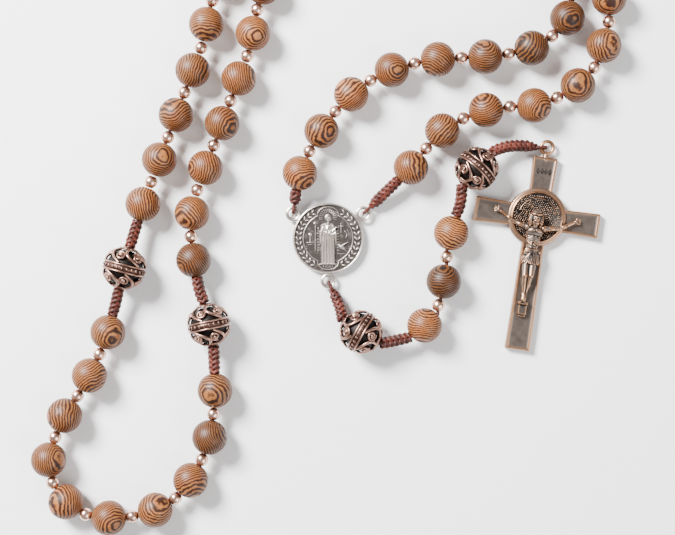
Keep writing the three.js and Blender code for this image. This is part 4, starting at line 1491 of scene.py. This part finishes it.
def hollow_wear(mesh, low, high):
    """How worn each point is: bright on ridges and dark in hollows, from the curve of the skin."""
    count = len(mesh.vertices)
    places = corners_of(mesh)
    ends = np.empty(len(mesh.edges) * 2, dtype=int)
    mesh.edges.foreach_get("vertices", ends)
    a, b = ends.reshape(-1, 2).T
    normals = np.empty(count * 3)
    mesh.vertices.foreach_get("normal", normals)
    normals = normals.reshape(-1, 3)
    bend = np.zeros(count)
    hits = np.zeros(count)
    way = places[b] - places[a]
    lengths = np.maximum(np.linalg.norm(way, axis=1), 1e-9)
    curve = ((normals[b] - normals[a]) * way).sum(axis=1) / lengths ** 2
    for end in (a, b):
        np.add.at(bend, end, curve)
        np.add.at(hits, end, 1)
    bend /= np.maximum(hits, 1)
    for _ in range(6):
        spread = np.zeros(count)
        np.add.at(spread, a, bend[b])
        np.add.at(spread, b, bend[a])
        bend = 0.4 * bend + 0.6 * spread / np.maximum(hits, 1)
    mark(mesh, "wear", np.clip((bend - low) / (high - low), 0, 1))


# ---- operators -----------------------------------------------------------------------------------

class ROSARY_OT_stage(bpy.types.Operator):
    """Sets the floor, the light and the camera over the rosary"""

    bl_idname = "rosary.stage"
    bl_label = "Stage"

    def execute(self, context):
        scene = context.scene
        mesh = bpy.data.meshes.new("floor")
        corners = [(x * FLOOR_HALF, y * FLOOR_HALF, 0) for x, y in ((-1, -1), (1, -1), (1, 1), (-1, 1))]
        mesh.from_pydata(corners, [], [(0, 1, 2, 3)])
        mesh.materials.append(finish_named("pale_floor", floor_finish))
        floor = bpy.data.objects.new("floor", mesh)
        scene.collection.objects.link(floor)

        world = bpy.data.worlds.new("studio")
        world.use_nodes = True
        sky = world.node_tree.nodes["Background"]
        sky.inputs["Color"].default_value = (1, 1, 1, 1)
        sky.inputs["Strength"].default_value = EVEN_LIGHT
        scene.world = world
        for name, place, size, power in LAMPS:
            light = bpy.data.lights.new(name, "AREA")
            light.size = size
            light.energy = power
            lamp = bpy.data.objects.new(name, light)
            lamp.location = place
            lamp.rotation_euler = (-Vector(place)).to_track_quat("-Z", "Y").to_euler()
            scene.collection.objects.link(lamp)

        lens = bpy.data.cameras.new("camera")
        lens.sensor_width = 36
        lens.lens = LENS
        lens.clip_start = 0.01
        camera = bpy.data.objects.new("camera", lens)
        camera.location = (CAMERA_X, CAMERA_Y, sizes().camera_height)
        scene.collection.objects.link(camera)
        scene.camera = camera
        return {"FINISHED"}


class ROSARY_OT_wooden_beads(bpy.types.Operator):
    """Threads the striped wooden beads on the string, one piece for each decade and body"""

    bl_idname = "rosary.wooden_beads"
    bl_label = "Wooden beads"

    def execute(self, context):
        material = finish_named("grained_wood", wood)
        ball = bpy.data.objects.new("bead", bored_ball(BEAD_R, BORE_R, 0.3 * MM, 44, 26))
        context.collection.objects.link(ball)
        tree = tree_named("threaded_balls", ball_tree)
        for name, items in STRINGS.items():
            groups = {}
            for index, item in enumerate(items):
                if item.kind == "bead":
                    key = (item.decade, item.number if name == "pendant" else 0)
                    groups.setdefault(key, []).append(index)
            for (number, single), indices in groups.items():
                seed = sizes().seed + 10 * number + single + len(indices)
                chance = random.Random(seed)
                tones = [PENDANT_TONES[single - 1] if single else chance.choice(LOOP_TONES)
                         for _ in indices]
                points = point_mesh([items[i].at for i in indices], tone=tones,
                                    way=[heading(items, i) for i in indices])
                mesh = grown(points, tree, {"Ball": ball, "Seed": seed, "Material": material})
                if single:
                    piece = combined(f"pendant_wooden_bead_{single}", [mesh])
                    node = f"pendant_bead_{single}"
                    settle(piece, node, [node])
                    continue
                body = STRING_BODY[name]
                nodes = [node for node in frame["record"]["behaviour"]["bodies"][body]
                         if node.startswith(f"decade_{number}_")]
                piece = combined(f"wooden_beads_{number}_{name}", [mesh])
                settle(piece, body, nodes)
        bpy.data.objects.remove(ball)
        return {"FINISHED"}


class ROSARY_OT_spacers(bpy.types.Operator):
    """Threads the copper balls between the wooden beads"""

    bl_idname = "rosary.spacers"
    bl_label = "Copper balls"

    def execute(self, context):
        material = finish_named("polished_copper", polished_copper)
        ball = bpy.data.objects.new("ball", bored_ball(SPACER_R, 0.5 * MM, 0.12 * MM, 28, 14))
        context.collection.objects.link(ball)
        tree = tree_named("threaded_balls", ball_tree)
        for name, items in STRINGS.items():
            groups = {}
            # A string's first spacer is the last one of the string before it.
            for index, item in enumerate(items):
                if item.kind == "spacer" and index > 0:
                    groups.setdefault(item.decade, []).append(index)
            for number, indices in groups.items():
                points = point_mesh([items[i].at for i in indices],
                                    way=[heading(items, i) for i in indices])
                mesh = grown(points, tree, {"Ball": ball, "Seed": number, "Material": material})
                if name == "pendant":
                    piece = combined("copper_balls_pendant", [mesh])
                    settle(piece, "pendant_middle", ["pendant_spacer_1", "pendant_spacer_2"])
                    continue
                piece = combined(f"copper_balls_{number}_{name}", [mesh])
                settle(piece, STRING_BODY[name])
        bpy.data.objects.remove(ball)
        return {"FINISHED"}


class ROSARY_OT_openwork_beads(bpy.types.Operator):
    """Makes the six large openwork beads, each turned differently on the cord"""

    bl_idname = "rosary.openwork_beads"
    bl_label = "Openwork beads"

    def execute(self, context):
        material = finish_named("antique_copper", antique_copper)
        pattern = combined("openwork_pattern", openwork_bead(material), material)
        for items in STRINGS.values():
            for index, item in enumerate(items):
                if item.kind != "large":
                    continue
                mesh = pattern.data.copy()
                placed(mesh, along_y(item.at, heading(items, index), 1.1 * item.number))
                piece = combined(f"openwork_bead_{item.number}", [mesh])
                settle(piece, f"large_bead_{item.number}",
                       [f"our_father_bead_{item.number}"])
        bpy.data.objects.remove(pattern)
        return {"FINISHED"}


class ROSARY_OT_cords(bpy.types.Operator):
    """Plaits the knots and lays the cord through the beads and the eyes"""

    bl_idname = "rosary.cords"
    bl_label = "Plaited cord"

    def execute(self, context):
        material = finish_named("waxed_plait", plait_finish)
        for name in ("inner", "outer", "loop_end", "inner_link", "outer_link"):
            items = STRINGS[name]
            fine = core(items, 0, len(items) - 1)
            thick = []
            for index, item in enumerate(items):
                if item.kind == "knot":
                    thick += knot(items, index)
                elif item.kind == "eye":
                    thick += eye_plait(items, index) + cord_loop(items, index)
            piece = combined(f"plaited_cord_{name}", [strands(fine + thick, material, 9)])
            settle(piece, STRING_BODY[name], [f"cord_{name}"])

        items = STRINGS["pendant"]
        knots = [index for index, item in enumerate(items) if item.kind == "knot"]
        last = len(items) - 1
        upper = core(items, 1, knots[0]) + eye_plait(items, 0) + cord_loop(items, 0)
        middle = core(items, knots[0], knots[1])
        lower = core(items, knots[1], last - 1) + eye_plait(items, last)
        for part, lines in (("upper", upper), ("middle", middle), ("lower", lower)):
            piece = combined(f"plaited_cord_pendant_{part}", [strands(lines, material, 9)])
            settle(piece, f"pendant_{part}", [f"cord_pendant_{part}"])
        for index, above, below in ((knots[0], "upper", "middle"), (knots[1], "middle", "lower")):
            mesh = strands(knot(items, index), material, 9)
            piece = combined(f"plaited_knot_{above}_{below}", [mesh])
            start, end = face_at(items, index - 1, 1), face_at(items, index + 1, -1)
            tuple(start)
            tuple(end)
            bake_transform(piece)
        ring = combined("cord_loop_of_crucifix", [strands(cord_loop(items, last), material, 9)])
        settle(ring, "crucifix_knot_loop", ["crucifix_cord_loop"])
        return {"FINISHED"}


class ROSARY_OT_medal(bpy.types.Operator):
    """Makes the round medal with its relief and its three eyes"""

    bl_idname = "rosary.medal"
    bl_label = "Medal"

    def execute(self, context):
        material = finish_named("relief_bronze", medal_bronze)
        meshes = [medal_disc(material)]
        for side in EYE_ANGLES:
            meshes.append(eye_ring(Vector((*eye_at(side), HEIGHT["eye"])), material))
        piece = combined("round_medal", meshes)
        settle(piece, "rosary_loop", ["medal"])
        return {"FINISHED"}


class ROSARY_OT_crucifix(bpy.types.Operator):
    """Makes the cast cross with its rim, its round plate and its eye"""

    bl_idname = "rosary.crucifix"
    bl_label = "Crucifix"

    def execute(self, context):
        material = finish_named("antique_cross", antique_cross)
        plate, disc = cross_plate(), cross_disc()
        neck = capsule((0, -1.5, 1.3), (0, -2.9, 1.2), 0.62, 0.85)
        mark(neck, "wear", np.full(len(neck.vertices), 0.7))
        meshes = [plate, disc, neck, *cross_ornament(material),
                  eye_ring(Vector((0, 0, HEIGHT["eye"])), material)]
        for mesh in meshes:
            on_crucifix(mesh)
        piece = combined("cast_crucifix", meshes, material)
        settle(piece, "crucifix", ["crucifix"])
        return {"FINISHED"}


class ROSARY_OT_figure(bpy.types.Operator):
    """Models the figure on the crucifix with its loincloth and the ledge under its feet"""

    bl_idname = "rosary.figure"
    bl_label = "Figure"

    def execute(self, context):
        material = finish_named("antique_cross", antique_cross)
        figure = Figure()
        for part in (figure.head, figure.torso, figure.arms, figure.loincloth, figure.legs):
            part()
        mesh = melted("figure", figure.shapes + foot_ledge(), FIGURE_GRAIN, 1)
        mesh.materials.clear()
        hollow_wear(mesh, FIGURE_HOLLOW, FIGURE_RIDGE)
        placed(mesh, Matrix.Translation(CROSSING))
        piece = combined("cast_figure", [on_crucifix(mesh)], material)
        settle(piece, "crucifix", ["crucifix_figure"])
        return {"FINISHED"}


class ROSARY_PT_panel(bpy.types.Panel):
    """Lists the rosary's pieces with its sizes and colours"""

    bl_idname = "ROSARY_PT_panel"
    bl_label = "Rosary"
    bl_space_type = "VIEW_3D"
    bl_region_type = "UI"
    bl_category = "Rosary"

    def draw(self, context):
        for group in (context.scene.rosary_sizes, context.scene.rosary_colours):
            box = self.layout.box()
            for name in group.__annotations__:
                box.prop(group, name)
        for operator in OPERATORS:
            self.layout.operator(operator.bl_idname)


OPERATORS = (
    ROSARY_OT_stage, ROSARY_OT_wooden_beads, ROSARY_OT_spacers, ROSARY_OT_openwork_beads,
    ROSARY_OT_cords, ROSARY_OT_medal, ROSARY_OT_crucifix, ROSARY_OT_figure,
)
CLASSES = (RosaryColours, RosarySizes, *OPERATORS, ROSARY_PT_panel)


def register():
    for cls in CLASSES:
        bpy.utils.register_class(cls)
    bpy.types.Scene.rosary_colours = bpy.props.PointerProperty(type=RosaryColours)
    bpy.types.Scene.rosary_sizes = bpy.props.PointerProperty(type=RosarySizes)


def unregister():
    del bpy.types.Scene.rosary_sizes
    del bpy.types.Scene.rosary_colours
    for cls in reversed(CLASSES):
        bpy.utils.unregister_class(cls)


def main():
    register()
    bpy.ops.rosary.stage()
    bpy.ops.rosary.wooden_beads()
    bpy.ops.rosary.spacers()
    bpy.ops.rosary.openwork_beads()
    bpy.ops.rosary.cords()
    bpy.ops.rosary.medal()
    bpy.ops.rosary.crucifix()
    bpy.ops.rosary.figure()


if __name__ == "__main__":
    main()
